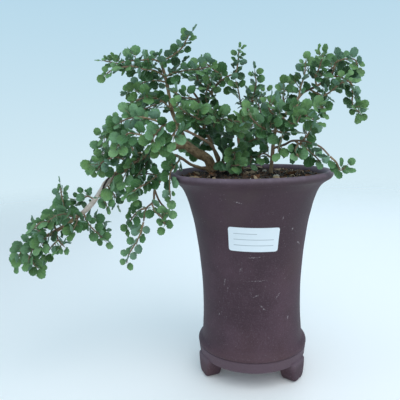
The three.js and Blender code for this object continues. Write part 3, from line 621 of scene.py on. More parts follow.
class Tree:
    """A Geometry Nodes tree in the making, with named inputs."""

    def __init__(self, name, inputs):
        self.tree = bpy.data.node_groups.new(name, "GeometryNodeTree")
        face = self.tree.interface
        face.new_socket("Geometry", in_out="INPUT", socket_type="NodeSocketGeometry")
        face.new_socket("Geometry", in_out="OUTPUT", socket_type="NodeSocketGeometry")
        self.names = {}
        for title, kind in inputs.items():
            self.names[title] = face.new_socket(title, in_out="INPUT", socket_type=kind).identifier
        self.entry = self.tree.nodes.new("NodeGroupInput")
        self.exit = self.tree.nodes.new("NodeGroupOutput")

    def add(self, kind, settings=None, inputs=None):
        return new_node(self.tree, kind, settings, inputs)

    def given(self, title):
        return self.entry.outputs[title]

    def named(self, title, kind="FLOAT"):
        node = self.add("GeometryNodeInputNamedAttribute", {"data_type": kind}, {"Name": title})
        return node.outputs["Attribute"]

    def chance(self, seed, low, high):
        """A random value between two of the tree's inputs."""
        return self.add("FunctionNodeRandomValue", {"data_type": "FLOAT"}, {
            2: self.given(low), 3: self.given(high), "Seed": seed}).outputs[1]

    def choice(self, title, count):
        """The objects of some inputs as one choice of instances."""
        joined = self.add("GeometryNodeJoinGeometry")
        for i in range(count):
            info = self.add("GeometryNodeObjectInfo", None, {
                "Object": self.given(f"{title} {i}"), "As Instance": True})
            join(info.outputs["Geometry"], joined.inputs[0])
        return joined.outputs[0]

    def painted(self, geometry, title):
        """Geometry with the material of an input."""
        return self.add("GeometryNodeSetMaterial", None, {
            "Geometry": geometry, "Material": self.given(title)}).outputs[0]

    def real(self, instances):
        return self.add("GeometryNodeRealizeInstances", None, {"Geometry": instances}).outputs[0]

    def apply(self, piece, values):
        """Runs the tree on a piece and makes the result its plain mesh."""
        modifier = piece.modifiers.new("made", "NODES")
        modifier.node_group = self.tree
        for title, value in values.items():
            modifier[self.names[title]] = value
        seen = piece.evaluated_get(bpy.context.evaluated_depsgraph_get())
        mesh = bpy.data.meshes.new_from_object(seen)
        piece.modifiers.remove(modifier)
        piece.data = mesh


strew = Tree("strewn_bits", {
    "Bits per square metre": "NodeSocketFloat", "Smallest": "NodeSocketFloat", "Largest": "NodeSocketFloat",
    "Darkest": "NodeSocketFloat", "Palest": "NodeSocketFloat",
    "Seed": "NodeSocketInt", "Material": "NodeSocketMaterial",
    **{f"Bit {i}": "NodeSocketObject" for i in range(len(BITS))},
})
spots = strew.add("GeometryNodeDistributePointsOnFaces", {"distribute_method": "RANDOM"}, {
    "Mesh": strew.given("Geometry"), "Density": strew.given("Bits per square metre"),
    "Seed": strew.given("Seed")})
turn = strew.add("FunctionNodeRandomValue", {"data_type": "FLOAT_VECTOR"}, {
    "Min": (-0.7, -0.7, 0), "Max": (0.7, 0.7, 6.283), "Seed": 5})
laid = strew.add("GeometryNodeInstanceOnPoints", None, {
    "Points": spots.outputs["Points"], "Instance": strew.choice("Bit", len(BITS)), "Pick Instance": True,
    "Rotation": turn.outputs[0], "Scale": strew.chance(6, "Smallest", "Largest")})
bit_tones = strew.add("GeometryNodeStoreNamedAttribute", {"data_type": "FLOAT", "domain": "INSTANCE"}, {
    "Geometry": laid.outputs[0], "Name": "bit_tone", "Value": strew.chance(7, "Darkest", "Palest")})
join(strew.painted(strew.real(bit_tones.outputs[0]), "Material"), strew.exit.inputs[0])

TOP_SIDES = 72


def strew_over(name, radii, lift, sizes, rounds, seed, density, widths, tones):
    """Strews bits of some sizes over rings of the soil's top, as one piece."""
    spots = [round_spot(radius, k, TOP_SIDES) for radius in radii for k in range(TOP_SIDES)]
    faces = []
    for i in range(len(radii) - 1):
        faces += ring_faces(i * TOP_SIDES, (i + 1) * TOP_SIDES, TOP_SIDES, True)
    bits = [soil_bit(f"{name}_{i}", seed + 3 * i, size, rounds) for i, size in enumerate(sizes)]
    strewn = new_piece(name, [(x, y, crumbled(x, y) + lift) for x, y in spots], faces)
    strew.apply(strewn, {
        "Bits per square metre": density, "Smallest": widths[0], "Largest": widths[1],
        "Darkest": tones[0], "Palest": tones[1], "Seed": seed, "Material": bits_material,
        **{f"Bit {i}": bit for i, bit in enumerate(bits)}})
    for bit in bits:
        bpy.data.objects.remove(bit)
    shade(strewn, 40)
    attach(strewn, "root")


strew_over("soil_bark_and_grit", [2, 16, 30, 42, 52, 58], lift=0.15, sizes=BITS, rounds=1, seed=4,
           density=190000.0, widths=(0.8, 2.2), tones=(0.0, 1.0))
strew_over("soil_bark_chips", [6, 20, 34, 46, 54], lift=0.5, sizes=CHIPS, rounds=2, seed=9,
           density=15000.0, widths=(0.8, 2.3), tones=(0.26, 0.97))
strew_over("soil_stones", [6, 20, 34, 46, 54], lift=0.4, sizes=STONES, rounds=2, seed=14,
           density=2800.0, widths=(1.0, 2.6), tones=(0.91, 1.0))

# The label
# A rounded white paper label stuck to the wall, with nothing on it but faint plain ruled lines.
LABEL_WIDTH = 39.5
LABEL_HEIGHT = 19.5
LABEL_CORNER = 2.0
LABEL_LIFT = 0.05
LABEL_THICKNESS = 0.22
LABEL_MIDDLE = 127
LABEL_TURN = math.radians(-87)
LABEL_LEAN = math.radians(2)
LABEL_COLUMNS = 60
LABEL_ROWS = 14
CORNER_STEPS = 8
LABEL_WHITE = (0.77, 0.80, 0.83, 1)
LABEL_GREY = (0.66, 0.67, 0.68, 1)
RULE_COLOUR = (0.30, 0.32, 0.35, 1)


def label_half_width(level_z):
    """Half the label's width at a height above its middle, with its corners rounded."""
    past = abs(level_z) - (LABEL_HEIGHT / 2 - LABEL_CORNER)
    cut = LABEL_CORNER - math.sqrt(max(0, LABEL_CORNER ** 2 - max(0, past) ** 2))
    return LABEL_WIDTH / 2 - cut


corner_rows = [LABEL_HEIGHT / 2 - LABEL_CORNER * (1 - math.sin(step * math.pi / (2 * CORNER_STEPS)))
               for step in range(CORNER_STEPS + 1)]
straight = LABEL_HEIGHT / 2 - LABEL_CORNER
label_rows = [-z for z in reversed(corner_rows)]
label_rows += [-straight + 2 * straight * k / LABEL_ROWS for k in range(1, LABEL_ROWS)]
label_rows += corner_rows
label_vertices = []
label_uv = []
for out in (LABEL_LIFT, LABEL_LIFT + LABEL_THICKNESS):
    for row in label_rows:
        for k in range(LABEL_COLUMNS + 1):
            side = (2 * k / LABEL_COLUMNS - 1) * label_half_width(row)
            along = side * math.cos(LABEL_LEAN) + row * math.sin(LABEL_LEAN)
            level_z = LABEL_MIDDLE + row * math.cos(LABEL_LEAN) - side * math.sin(LABEL_LEAN)
            radius = wall_radius(level_z) + out
            angle = LABEL_TURN + along / wall_radius(LABEL_MIDDLE)
            label_vertices.append((radius * math.cos(angle), radius * math.sin(angle), level_z))
            label_uv.append((0.5 + side / LABEL_WIDTH, 0.5 + row / LABEL_HEIGHT))
wide = LABEL_COLUMNS + 1
sheet = len(label_rows) * wide
label_faces = []
for j in range(len(label_rows) - 1):
    for k in range(LABEL_COLUMNS):
        a = j * wide + k
        label_faces.append((a, a + wide, a + wide + 1, a + 1))
        label_faces.append((sheet + a, sheet + a + 1, sheet + a + wide + 1, sheet + a + wide))
rim = list(range(wide))
rim += [j * wide + wide - 1 for j in range(1, len(label_rows))]
rim += [(len(label_rows) - 1) * wide + k for k in range(wide - 2, -1, -1)]
rim += [j * wide for j in range(len(label_rows) - 2, 0, -1)]
for a, b in zip(rim, rim[1:] + rim[:1]):
    label_faces.append((a, b, sheet + b, sheet + a))
label = new_piece("paper_label", label_vertices, label_faces)
label_map = label.data.uv_layers.new(name="label")
for loop in label.data.loops:
    label_map.data[loop.index].uv = label_uv[loop.vertex_index]
outwards(label)
shade(label, 45)

# Each rule on the label: its height, its start and its end, in shares of the label
LABEL_RULES = [(0.74, 0.10, 0.56), (0.50, 0.10, 0.90), (0.26, 0.10, 0.90)]
label_material, shader, place = finish("white_label_paper")
spread = new_node(place.id_data, "ShaderNodeUVMap", {"uv_map": "label"}).outputs[0]
over_label, up_label = axis_of(spread, "X"), axis_of(spread, "Y")
colour = LABEL_WHITE
for level_v, start, end in LABEL_RULES:
    line = ranged(reckon("ABSOLUTE", reckon("SUBTRACT", up_label, level_v)), 0.010, 0.018, 1, 0)
    line = times(line, ranged(over_label, start, start + 0.01))
    line = times(line, ranged(over_label, end - 0.01, end, 1, 0))
    colour = blend(times(line, 0.75), colour, RULE_COLOUR)
colour = laid_over(colour, LABEL_GREY, mottle(place, 120, 3), 0.5, 0.8, 0.2)
join(colour, shader.inputs["Base Color"])
shader.inputs["Roughness"].default_value = 0.42
raised(shader, mottle(place, 2600, 2), 0.08, 0.0002)
label.data.materials.append(label_material)
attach(label, "root")
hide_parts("label")

# The wood
# Rough grey-brown stems with red-brown young wood. The trunk leans out over the rim and hangs to the
# left, and a stretch of it past the bend is bare, pale and cracked where its bark was lost.
STEMS = {
    "trunk": [
        ((4.7, 3.8, 1.0), [
            (-33, 16, 161), (-33, 13, 175), (-36, 9, 185), (-43, 6, 190), (-50, 3, 195), (-56, 1, 199),
            (-67, -3, 197), (-80, -7, 193), (-92, -11, 189), (-104, -15, 181), (-114, -19, 174),
            (-120, -21, 169), (-125, -23, 161), (-135, -26, 149), (-150, -29, 138), (-167, -32, 128),
            (-177, -34, 125), (-186, -35, 114)]),
        ((1.6, 1.3, 0.7), [
            (-35, 11, 176), (-40, 2, 178), (-44, -5, 180), (-50, -9, 183), (-56, -13, 188),
            (-62, -15, 191), (-66, -18, 188), (-68, -22, 181), (-72, -25, 172), (-77, -28, 164),
            (-78, -30, 155), (-84, -32, 149), (-86, -34, 139)]),
        ((1.6, 1.25, 0.7), [
            (-34, 12, 178), (-28, 4, 182), (-26, -4, 187), (-31, -14, 198), (-38, -22, 204),
            (-48, -28, 210), (-57, -33, 213), (-65, -37, 216), (-70, -41, 210), (-77, -44, 205)]),
        ((2.4, 1.9, 1.3), [
            (-54, 2, 198), (-58, 6, 208), (-64, 10, 220), (-68, 13, 231), (-71, 16, 250),
            (-73, 17, 258), (-76, 18, 270)]),
        ((1.5, 1.2, 0.8), [
            (-87, -9, 190), (-99, -2, 195), (-111, 4, 197), (-124, 8, 195)]),
        ((0.9, 0.8, 0.7), [
            (-77, -28, 164), (-74, -25, 154), (-68, -23, 146)]),
    ],
    "twin_stem": [
        ((2.2, 1.6, 0.9), [
            (-25, 18, 162), (-26, 17, 176), (-30, 16, 189), (-34, 14, 201), (-39, 12, 211),
            (-41, 8, 226), (-43, 6, 236), (-47, 2, 243)]),
        ((1.8, 1.6, 1.0), [
            (-26, 17, 176), (-22, 14, 190), (-28, 18, 203), (-31, 22, 219), (-29, 24, 234),
            (-33, 22, 243), (-27, 18, 250), (-17, 14, 256)]),
    ],
    "centre_stem": [
        ((1.9, 1.6, 1.0), [
            (-7, 33, 162), (-7, 33, 176), (-8, 34, 190), (-10, 36, 202), (-7, 34, 217), (-2, 30, 227),
            (4, 26, 236)]),
    ],
    "right_stem": [
        ((1.8, 1.6, 0.8), [
            (17, -11, 161), (17, -13, 174), (18, -15, 187), (19, -18, 200), (21, -20, 211),
            (26, -20, 219), (32, -18, 225), (38, -14, 233), (44, -10, 239), (54, -4, 243),
            (62, 0, 249), (68, 2, 255)]),
        ((1.1, 0.9, 0.6), [
            (19, -17, 195), (27, -26, 198), (33, -32, 201), (44, -36, 200), (53, -36, 196),
            (60, -34, 189)]),
    ],
}
SCAR_START = 0.535
SCAR_END = 0.745
LIMB_SIDES = 18
LIMB_STEP = 0.9
LIMB_SEED = 7.3
QUICK_TAPER = 0.15
SCAR_RISE = 0.02
SCAR_FALL = 0.03
KNOT_REACH = 1.1
KNOT_SWELL = 0.16
RIDGE_ROUND = 1.6
RIDGE_ALONG = 0.13
RIDGE_DEPTH = 0.13
LUMP_SCALE = 0.22
LUMP_DEPTH = 0.10
SPLIT_DEPTH = 0.30
SPLIT_TWIST = 26
END_SHARE = 0.55
YOUNG_RADIUS = 1.6


def held(value, low=0.0, high=1.0):
    """A value held between two others."""
    return min(high, max(low, value))


def limb_radius(radii, along):
    """Radius along a limb, as in the solid: a quick taper at first, then a slow one."""
    start, middle, end = radii
    if along < QUICK_TAPER:
        return start + (middle - start) * along / QUICK_TAPER
    return middle + (end - middle) * (along - QUICK_TAPER) / (1 - QUICK_TAPER)


def lengths_along(line):
    """Distance along a line at each of its points."""
    steps = np.linalg.norm(np.diff(np.array(line), axis=0), axis=1)
    return np.concatenate([[0], np.cumsum(steps)])


def even_line(points, step):
    """A smooth line through the points with even steps."""
    line = np.array(smooth_line(points, 8))
    walked = lengths_along(line)
    count = max(4, int(walked[-1] / step))
    ways = np.linspace(0, walked[-1], count + 1)
    return np.stack([np.interp(ways, walked, line[:, i]) for i in range(3)], axis=1), ways / walked[-1]


def limb_shell(points, radii, seed, scarred):
    """One limb: its rings, with knots and bark ridges, and for each vertex its (round, along, scar)."""
    line, shares = even_line(points, LIMB_STEP)
    knots = lengths_along(points)[1:-1] / lengths_along(points)[-1]
    total = lengths_along(line)[-1]
    vertices = []
    marks = []
    across = np.array([0.31, 0.87, 0.38])
    for i, (middle, share) in enumerate(zip(line, shares)):
        tangent = line[min(len(line) - 1, i + 1)] - line[max(0, i - 1)]
        tangent /= np.linalg.norm(tangent)
        across -= across.dot(tangent) * tangent
        across /= np.linalg.norm(across)
        up = np.cross(tangent, across)
        radius = limb_radius(radii, share)
        knot = held(sum(math.exp(-((share - k) * total / (KNOT_REACH * radius)) ** 2) for k in knots))
        scar = 0.0
        if scarred:
            scar = held((share - SCAR_START) / SCAR_RISE) * held((SCAR_END - share) / SCAR_FALL)
        for k in range(LIMB_SIDES):
            angle = 2 * math.pi * k / LIMB_SIDES
            cos, sin = math.cos(angle), math.sin(angle)
            way = cos * across + sin * up
            bark_spot = Vector((cos * RIDGE_ROUND, sin * RIDGE_ROUND, share * total * RIDGE_ALONG + seed))
            ridge = RIDGE_DEPTH * noise.noise(bark_spot)
            lump = noise.noise(Vector(middle + way * radius) * LUMP_SCALE + Vector((seed, 0, 0)))
            split = max(0, math.sin(angle + share * SPLIT_TWIST + 1.0)) ** 6
            groove = scar * (0.10 * math.sin(2 * angle + share * 30) - SPLIT_DEPTH * split)
            swell = KNOT_SWELL * knot * (0.6 + 0.4 * lump)
            reach = radius * (1 + swell + ridge + LUMP_DEPTH * lump + groove)
            if share in (shares[0], shares[-1]):
                reach *= END_SHARE
            vertices.append(middle + way * reach)
            marks.append((k / LIMB_SIDES, share * total, scar * (1 + split)))
    faces = []
    for i in range(len(line) - 1):
        faces += ring_faces(i * LIMB_SIDES, (i + 1) * LIMB_SIDES, LIMB_SIDES)
    faces.append(tuple(range(LIMB_SIDES - 1, -1, -1)))
    faces.append(tuple((len(line) - 1) * LIMB_SIDES + k for k in range(LIMB_SIDES)))
    return vertices, faces, marks


def carry(data, title, kind, values):
    """Gives each point of a mesh its own value."""
    is_vector = kind == "FLOAT_VECTOR"
    data.attributes.new(title, kind, "POINT").data.foreach_set(
        "vector" if is_vector else "value", np.array(values, float).ravel() if is_vector else values)


BARK_DARK = (0.145, 0.085, 0.046, 1)
BARK_LIGHT = (0.46, 0.300, 0.165, 1)
BARK_PATCH = (0.50, 0.37, 0.24, 1)
YOUNG_DARK = (0.062, 0.035, 0.025, 1)
YOUNG_LIGHT = (0.180, 0.118, 0.084, 1)
BARE_DARK = (0.16, 0.09, 0.07, 1)
BARE_LIGHT = (0.66, 0.52, 0.44, 1)
BARE_PALE = (0.76, 0.66, 0.60, 1)
SPLIT_COLOUR = (0.034, 0.019, 0.015, 1)
GRAIN_DRAW = (8, 0.16, 0)
bark_material, shader, place = finish("bark_and_bare_wood")
limb_mark = carried(place, "limb", "Vector")
scar_mark = axis_of(limb_mark, "Z")
along_grain = stretched(limb_mark, GRAIN_DRAW)
plates = mottle(along_grain, 1.6, 5, 0.65)
patches = mottle(place, 170, 3)
colour = laid_over(BARK_DARK, BARK_LIGHT, plates, 0.30, 0.66)
colour = laid_over(colour, BARK_PATCH, patches, 0.5, 0.75, 0.5)
young_colour = laid_over(YOUNG_DARK, YOUNG_LIGHT, mottle(place, 45, 1), 0.40, 0.60)
colour = blend(times(carried(place, "young"), 0.8), colour, young_colour)
cracks = mottle(along_grain, 2.3, 4, 0.7)
bare = laid_over(BARE_DARK, BARE_LIGHT, cracks, 0.30, 0.42)
bare = laid_over(bare, BARE_PALE, patches, 0.45, 0.7, 0.5)
colour = laid_over(colour, bare, scar_mark, 0.0, 1.0)
ragged = times(reckon("SUBTRACT", cracks, 0.5), 1.6)
colour = laid_over(colour, SPLIT_COLOUR, reckon("ADD", scar_mark, ragged), 1.25, 1.75)
join(colour, shader.inputs["Base Color"])
shader.inputs["Roughness"].default_value = 0.82
raised(shader, reckon("ADD", plates, times(mottle(place, 900, 3), 0.2)), 0.8, 0.0005)

limb_number = 0
for stem_name, limbs in STEMS.items():
    shells = []
    stem_marks = []
    stem_young = []
    for number, (radii, points) in enumerate(limbs):
        limb_number += 1
        scarred = stem_name == "trunk" and number == 0
        *shell, marks = limb_shell(points, radii, LIMB_SEED * limb_number, scarred)
        shells.append(shell)
        stem_marks += marks
        for mark in marks:
            radius = limb_radius(radii, mark[1] / marks[-1][1])
            stem_young.append(held((YOUNG_RADIUS - radius) / 0.8))
    stem = new_piece(f"bark_{stem_name}", *gather(shells))
    carry(stem.data, "limb", "FLOAT_VECTOR", stem_marks)
    carry(stem.data, "young", "FLOAT", stem_young)
    outwards(stem)
    shade(stem)
    stem.data.materials.append(bark_material)
    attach(stem, "root")
    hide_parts(stem_name)

# The leafy twigs
# Thin twigs, red-brown below and pinkish at the tips, with small round leaves by turns on two sides and
# on short side shoots. Leaves are matte, with rounded teeth, three veins from the stalk and a pale back.
SPRAYS = {
    "top_left": (7, 10, 0.2, [
        [(-76, 18, 270), (-82, 12, 272), (-89, 6, 271), (-95, 0, 270), (-101, -5, 269), (-107, -9, 267),
        (-113, -12, 268), (-118, -14, 269)],
        [(-76, 18, 270), (-70, 16, 273), (-63, 14, 276), (-56, 12, 281), (-52, 10, 287), (-48, 9, 293)],
    ]),
    "top_left_low": (8, 10, 0.2, [
        [(-73, 17, 258), (-80, 6, 262), (-87, -4, 262), (-94, -10, 264), (-102, -15, 263),
        (-109, -19, 261), (-114, -22, 257)],
    ]),
    "top_left_shade": (8, 11, 0.2, [
        [(-72, 17, 253), (-81, 21, 255), (-91, 24, 255), (-99, 24, 252), (-108, 24, 247)],
    ]),
    "left_high": (8, 11, 0.35, [
        [(-67, 12, 229), (-74, 4, 236), (-82, -3, 239), (-90, -8, 238), (-97, -12, 235)],
        [(-74, 4, 236), (-85, 14, 233), (-97, 24, 230), (-107, 30, 230)],
        [(-67, 12, 229), (-59, 3, 227), (-51, -4, 222), (-44, -8, 218)],
    ]),
    "left_reach": (8, 10, 0.35, [
        [(-65, -37, 216), (-74, -40, 220), (-84, -40, 222), (-94, -38, 221), (-103, -36, 217),
        (-109, -35, 211), (-114, -35, 207)],
    ]),
    "left_veil": (9, 11, 0.35, [
        [(-57, -33, 213), (-59, -39, 207), (-64, -43, 203), (-69, -45, 198)],
    ]),
    "left_front": (9, 11, 0.35, [
        [(-77, -44, 205), (-83, -47, 209), (-91, -48, 210), (-97, -47, 205), (-102, -45, 199)],
    ]),
    "trunk_veil": (8, 10, 0.3, [
        [(-83, -8, 192), (-84, -20, 190), (-89, -29, 188), (-94, -35, 186)],
    ]),
    "left_mid": (8, 10, 0.2, [
        [(-124, 8, 195), (-131, 10, 191), (-138, 11, 186), (-143, 11, 179)],
        [(-127, 9, 194), (-129, 6, 201), (-131, 5, 207)],
    ]),
    "left_mid_back": (8, 10, 0.35, [
        [(-99, -2, 195), (-109, 12, 202), (-120, 22, 209), (-129, 28, 215)],
    ]),
    "left_shade": (8, 11, 0.4, [
        [(-100, -14, 183), (-105, -24, 190), (-110, -30, 191), (-117, -34, 188), (-120, -37, 183)],
    ]),
    "pale_right": (7, 10, 0, [
        [(-120, -21, 169), (-118, -15, 163), (-115, -12, 156), (-114, -10, 150)],
    ]),
    "pale_front": (8, 10, 0, [
        [(-126, -23, 160), (-119, -31, 157), (-115, -36, 152)],
    ]),
    "pale_left": (8, 10, 0.1, [
        [(-130, -24, 156), (-137, -19, 158), (-144, -16, 154), (-151, -14, 149)],
    ]),
    "low_hang": (8, 10, 0.1, [
        [(-139, -27, 146), (-135, -26, 135), (-128, -25, 127), (-122, -24, 120)],
        [(-136, -26, 140), (-132, -18, 138), (-129, -12, 132), (-128, -7, 124)],
    ]),
    "low_upright": (7, 10, 0.1, [
        [(-151, -30, 138), (-154, -29, 149), (-156, -28, 160), (-157, -27, 169)],
        [(-151, -30, 138), (-160, -18, 144), (-172, -10, 143), (-183, -4, 139)],
    ]),
    "low_front": (8, 10, 0.1, [
        [(-161, -31, 131), (-161, -41, 140), (-165, -49, 142), (-169, -54, 139)],
        [(-161, -31, 131), (-157, -39, 125), (-149, -46, 121)],
        [(-157, -39, 125), (-164, -37, 119), (-170, -35, 112)],
    ]),
    "low_mid": (8, 10, 0.1, [
        [(-172, -33, 126), (-180, -25, 130), (-187, -17, 130), (-196, -11, 125)],
    ]),
    "low_end": (8, 10, 0.1, [
        [(-186, -35, 114), (-190, -38, 114), (-193, -41, 109), (-195, -43, 104)],
        [(-186, -35, 114), (-186, -30, 107), (-181, -27, 101)],
    ]),
    "hang_long": (8, 10, 0, [
        [(-86, -34, 139), (-89, -35, 129), (-94, -36, 120), (-99, -37, 112), (-101, -38, 105)],
    ]),
    "hang_right": (8, 10, 0.1, [
        [(-80, -31, 154), (-75, -38, 148), (-69, -43, 144), (-66, -46, 138)],
    ]),
    "hang_left": (8, 10, 0.1, [
        [(-83, -32, 150), (-92, -25, 146), (-100, -20, 138), (-103, -18, 130)],
    ]),
    "hang_top": (8, 10, 0.35, [
        [(-70, -24, 173), (-80, -20, 176), (-89, -17, 176), (-96, -15, 174)],
        [(-76, -22, 175), (-82, -32, 170), (-88, -38, 167), (-94, -42, 163)],
    ]),
    "under_trunk": (8, 11, 0.1, [
        [(-57, -14, 188), (-60, -23, 183), (-63, -31, 178), (-63, -37, 168), (-62, -40, 159)],
    ]),
    "bud_twig": (7, 9, 0, [
        [(-116, -20, 172), (-107, -26, 170), (-99, -31, 165), (-93, -34, 158)],
    ]),
    "crown_left": (8, 11, 0.4, [
        [(-73, 17, 258), (-63, 10, 260), (-51, 4, 261), (-40, -1, 261), (-32, -4, 262)],
    ]),
    "crown_inner": (8, 10, 0.3, [
        [(-43, 6, 235), (-49, -4, 237), (-55, -12, 238), (-60, -18, 242)],
    ]),
    "crown_top": (8, 11, 0.3, [
        [(-34, 22, 244), (-40, 14, 249), (-44, 8, 255), (-41, 3, 264)],
    ]),
    "crown_mid": (8, 11, 0.4, [
        [(-31, 23, 226), (-36, 12, 233), (-36, 2, 241), (-31, -6, 249)],
    ]),
    "crown_peak": (8, 11, 0.35, [
        [(-28, 18, 249), (-23, 8, 255), (-29, 1, 260), (-35, -3, 265)],
        [(-28, 18, 249), (-35, 29, 257), (-42, 38, 263), (-50, 45, 260)],
    ]),
    "mast": (6, 8, 0, [
        [(-17, 14, 256), (-11, 10, 258), (-9, 8, 266), (-8, 7, 276)],
    ]),
    "crown_right": (8, 11, 0.1, [
        [(-3, 31, 225), (3, 22, 238), (6, 16, 248), (5, 12, 259)],
        [(-3, 31, 225), (-7, 20, 233), (-9, 11, 243), (-11, 6, 251)],
    ]),
    "band_left": (8, 10, 0.5, [
        [(-38, 12, 208), (-38, -6, 217), (-43, -18, 221), (-50, -26, 225), (-55, -31, 230)],
    ]),
    "band_mid": (8, 10, 0.6, [
        [(-30, 20, 213), (-29, -2, 218), (-20, -18, 219), (-11, -28, 217), (-3, -35, 216)],
    ]),
    "band_right": (9, 11, 0.4, [
        [(20, -20, 208), (13, -28, 210), (6, -35, 214), (0, -40, 221)],
        [(20, -20, 208), (25, -30, 207), (23, -38, 200), (21, -42, 194)],
    ]),
    "heart_left": (8, 11, 0.45, [
        [(-23, 15, 193), (-17, 0, 193), (-12, -12, 191), (-13, -22, 186)],
        [(-23, 15, 193), (-21, 6, 205), (-14, -5, 212), (-7, -14, 210)],
    ]),
    "heart_right": (8, 11, 0.45, [
        [(-9, 35, 194), (-1, 24, 199), (7, 14, 203), (11, 6, 209)],
    ]),
    "heart_back": (8, 11, 0.45, [
        [(-35, 14, 204), (-39, 28, 201), (-48, 40, 195), (-57, 47, 192)],
    ]),
    "soil_front": (9, 11, 0.2, [
        [(-24, 16, 182), (-21, -8, 182), (-15, -22, 182), (-8, -31, 183)],
    ]),
    "soil_right": (8, 10, 0.1, [
        [(-7, 33, 182), (-2, 18, 187), (2, 8, 186), (0, 0, 182)],
    ]),
    "back": (8, 11, 0.4, [
        [(-10, 36, 203), (-1, 46, 211), (12, 52, 222), (25, 54, 229), (33, 52, 232), (41, 48, 229)],
        [(12, 52, 222), (9, 58, 234), (12, 61, 244)],
    ]),
    "right_inner": (9, 11, 0.3, [
        [(27, -20, 220), (19, -26, 221), (15, -30, 226), (16, -33, 232)],
        [(27, -20, 220), (30, -28, 215), (35, -35, 214), (37, -40, 219)],
    ]),
    "right_left": (8, 10, 0.3, [
        [(32, -18, 225), (28, -8, 231), (28, -2, 239), (33, 2, 245)],
    ]),
    "right_shoot": (7, 9, 0.1, [
        [(39, -13, 234), (41, -10, 243), (44, -8, 252), (45, -6, 263)],
    ]),
    "right_top": (8, 10, 0.15, [
        [(54, -4, 243), (52, -12, 250), (54, -18, 256), (56, -22, 265)],
    ]),
    "right_end": (8, 11, 0.15, [
        [(68, 2, 255), (69, -2, 261), (75, -6, 263), (82, -9, 262), (84, -11, 257)],
        [(68, 2, 255), (68, 14, 258), (74, 24, 262), (81, 32, 261)],
    ]),
    "right_hang": (8, 10, 0.3, [
        [(65, 1, 251), (75, 4, 250), (83, 5, 245), (84, 4, 236), (84, 2, 227), (90, 1, 221)],
    ]),
    "right_front": (8, 10, 0.25, [
        [(48, -8, 241), (57, -16, 235), (63, -21, 238), (69, -24, 243), (75, -26, 244)],
        [(57, -16, 235), (55, -26, 228), (56, -33, 222)],
    ]),
    "right_low": (8, 11, 0.25, [
        [(36, -15, 230), (39, -27, 224), (43, -36, 219), (49, -42, 215)],
    ]),
    "shelf_inner": (8, 10, 0.2, [
        [(18, -15, 187), (11, -20, 191), (6, -26, 189)],
    ]),
    "shelf_front": (8, 11, 0.2, [
        [(34, -33, 200), (43, -28, 195), (50, -24, 189), (56, -22, 183)],
        [(34, -33, 200), (34, -40, 194), (36, -46, 189)],
        [(38, -31, 198), (43, -37, 205), (45, -42, 210)],
    ]),
    "shelf_end": (8, 10, 0, [
        [(60, -34, 189), (65, -35, 184), (68, -36, 178), (72, -38, 182)],
    ]),
}
LEAF_SPACING = 10.1
FIRST_LEAF = 5
STALK = 1.6
TWIG_SEAT = 0.5
FORK = 3.4
SOLID_GAP = 0.35
SOLID_THICKNESS = 0.6
CROWN_CENTRE = np.array([-50.0, 5.0, 200.0])
SOLID_LIGHT = np.array([0, -0.5, 0.6])
RIM_RADIUS = 68.5
MOUTH_RADIUS = 60.2
RIM_TOP = 176
POT_CLEAR = 0.9
NEAR_LEAF = 6
NEXT_LEAF = 1.5
OWN_TWIG = 5
TIP_GAP = 0.4
TIP_SHRINK = 0.22
TURNS = [0, 0.5, -0.5, 1, -1, 1.5, -1.5, 2.2]
FACE_OUTWARDS = 0.55
FACE_SWAY = (0.7, 0.7, 0.5)
FACE_TURN = 0.8
TIP_SWAY = 0.3
LEAF_ALONG = 0.45
LEAF_SWAY = 0.3
LEAF_ACROSS = 0.9
LEAF_DROOP = np.array([0, 0, 0.12])


def between(low, high, seed, number):
    """A steady value between two others."""
    return low + (high - low) * steady(seed, number)


def as_line(points):
    return [np.array(point, float) for point in points]


def unit(vector):
    return vector / math.sqrt(vector.dot(vector))


def turned(vector, axis, angle):
    """A vector turned about a unit axis."""
    cos, sin = math.cos(angle), math.sin(angle)
    return vector * cos + np.cross(axis, vector) * sin + axis * axis.dot(vector) * (1 - cos)


def nearest_on(lines, place):
    """The nearest point to a place on a set of lines."""
    best, least = None, math.inf
    for line in lines:
        for start, end in zip(line, line[1:]):
            run = end - start
            share = held((place - start).dot(run) / run.dot(run))
            found = start + share * run
            distance = np.linalg.norm(found - place)
            if distance < least:
                best, least = found, distance
    return best


def station(line, way):
    """The place and direction on a line at a way along it."""
    left = way
    for i, (start, end) in enumerate(zip(line, line[1:])):
        length = np.linalg.norm(end - start)
        if left <= length or i + 2 == len(line):
            along = (end - start) / length
            return start + along * min(left, length), along
        left -= length


def beads(line, radius_at, step=1.5):
    """Points along a line, each with its radius and its way along."""
    walked = lengths_along(line)
    rows = []
    for start, end, way, after in zip(line, line[1:], walked, walked[1:]):
        count = math.ceil((after - way) / step)
        for k in range(count):
            here = way + (after - way) * k / count
            rows.append((*(start + (end - start) * k / count), radius_at(here / walked[-1]), here))
    rows.append((*line[-1], radius_at(1), walked[-1]))
    return rows


wood_limbs = [limb for limbs in STEMS.values() for limb in limbs]
wood_lines = [as_line(points) for radii, points in wood_limbs]

# Every twig in order, each with its spray, its number there, its first seed and its line. It starts on the
# wood or on the first twig of its spray.
spray_lines = {}
twig_list = []
for spray_number, (name, (*_, twigs)) in enumerate(SPRAYS.items()):
    lines = [as_line(twig) for twig in twigs]
    first = lines[0]
    first[0] = nearest_on(wood_lines, first[0])
    first[0] = station(first, TWIG_SEAT)[0]
    for i, line in enumerate(lines[1:]):
        from_foot = twigs[i + 1][0] == twigs[0][0]
        line[0] = station(first, FORK)[0] if from_foot else nearest_on(lines[:i + 1], line[0])
    spray_lines[name] = lines
    twig_list += [(name, i, 1000 * spray_number + 100 * i, line) for i, line in enumerate(lines)]

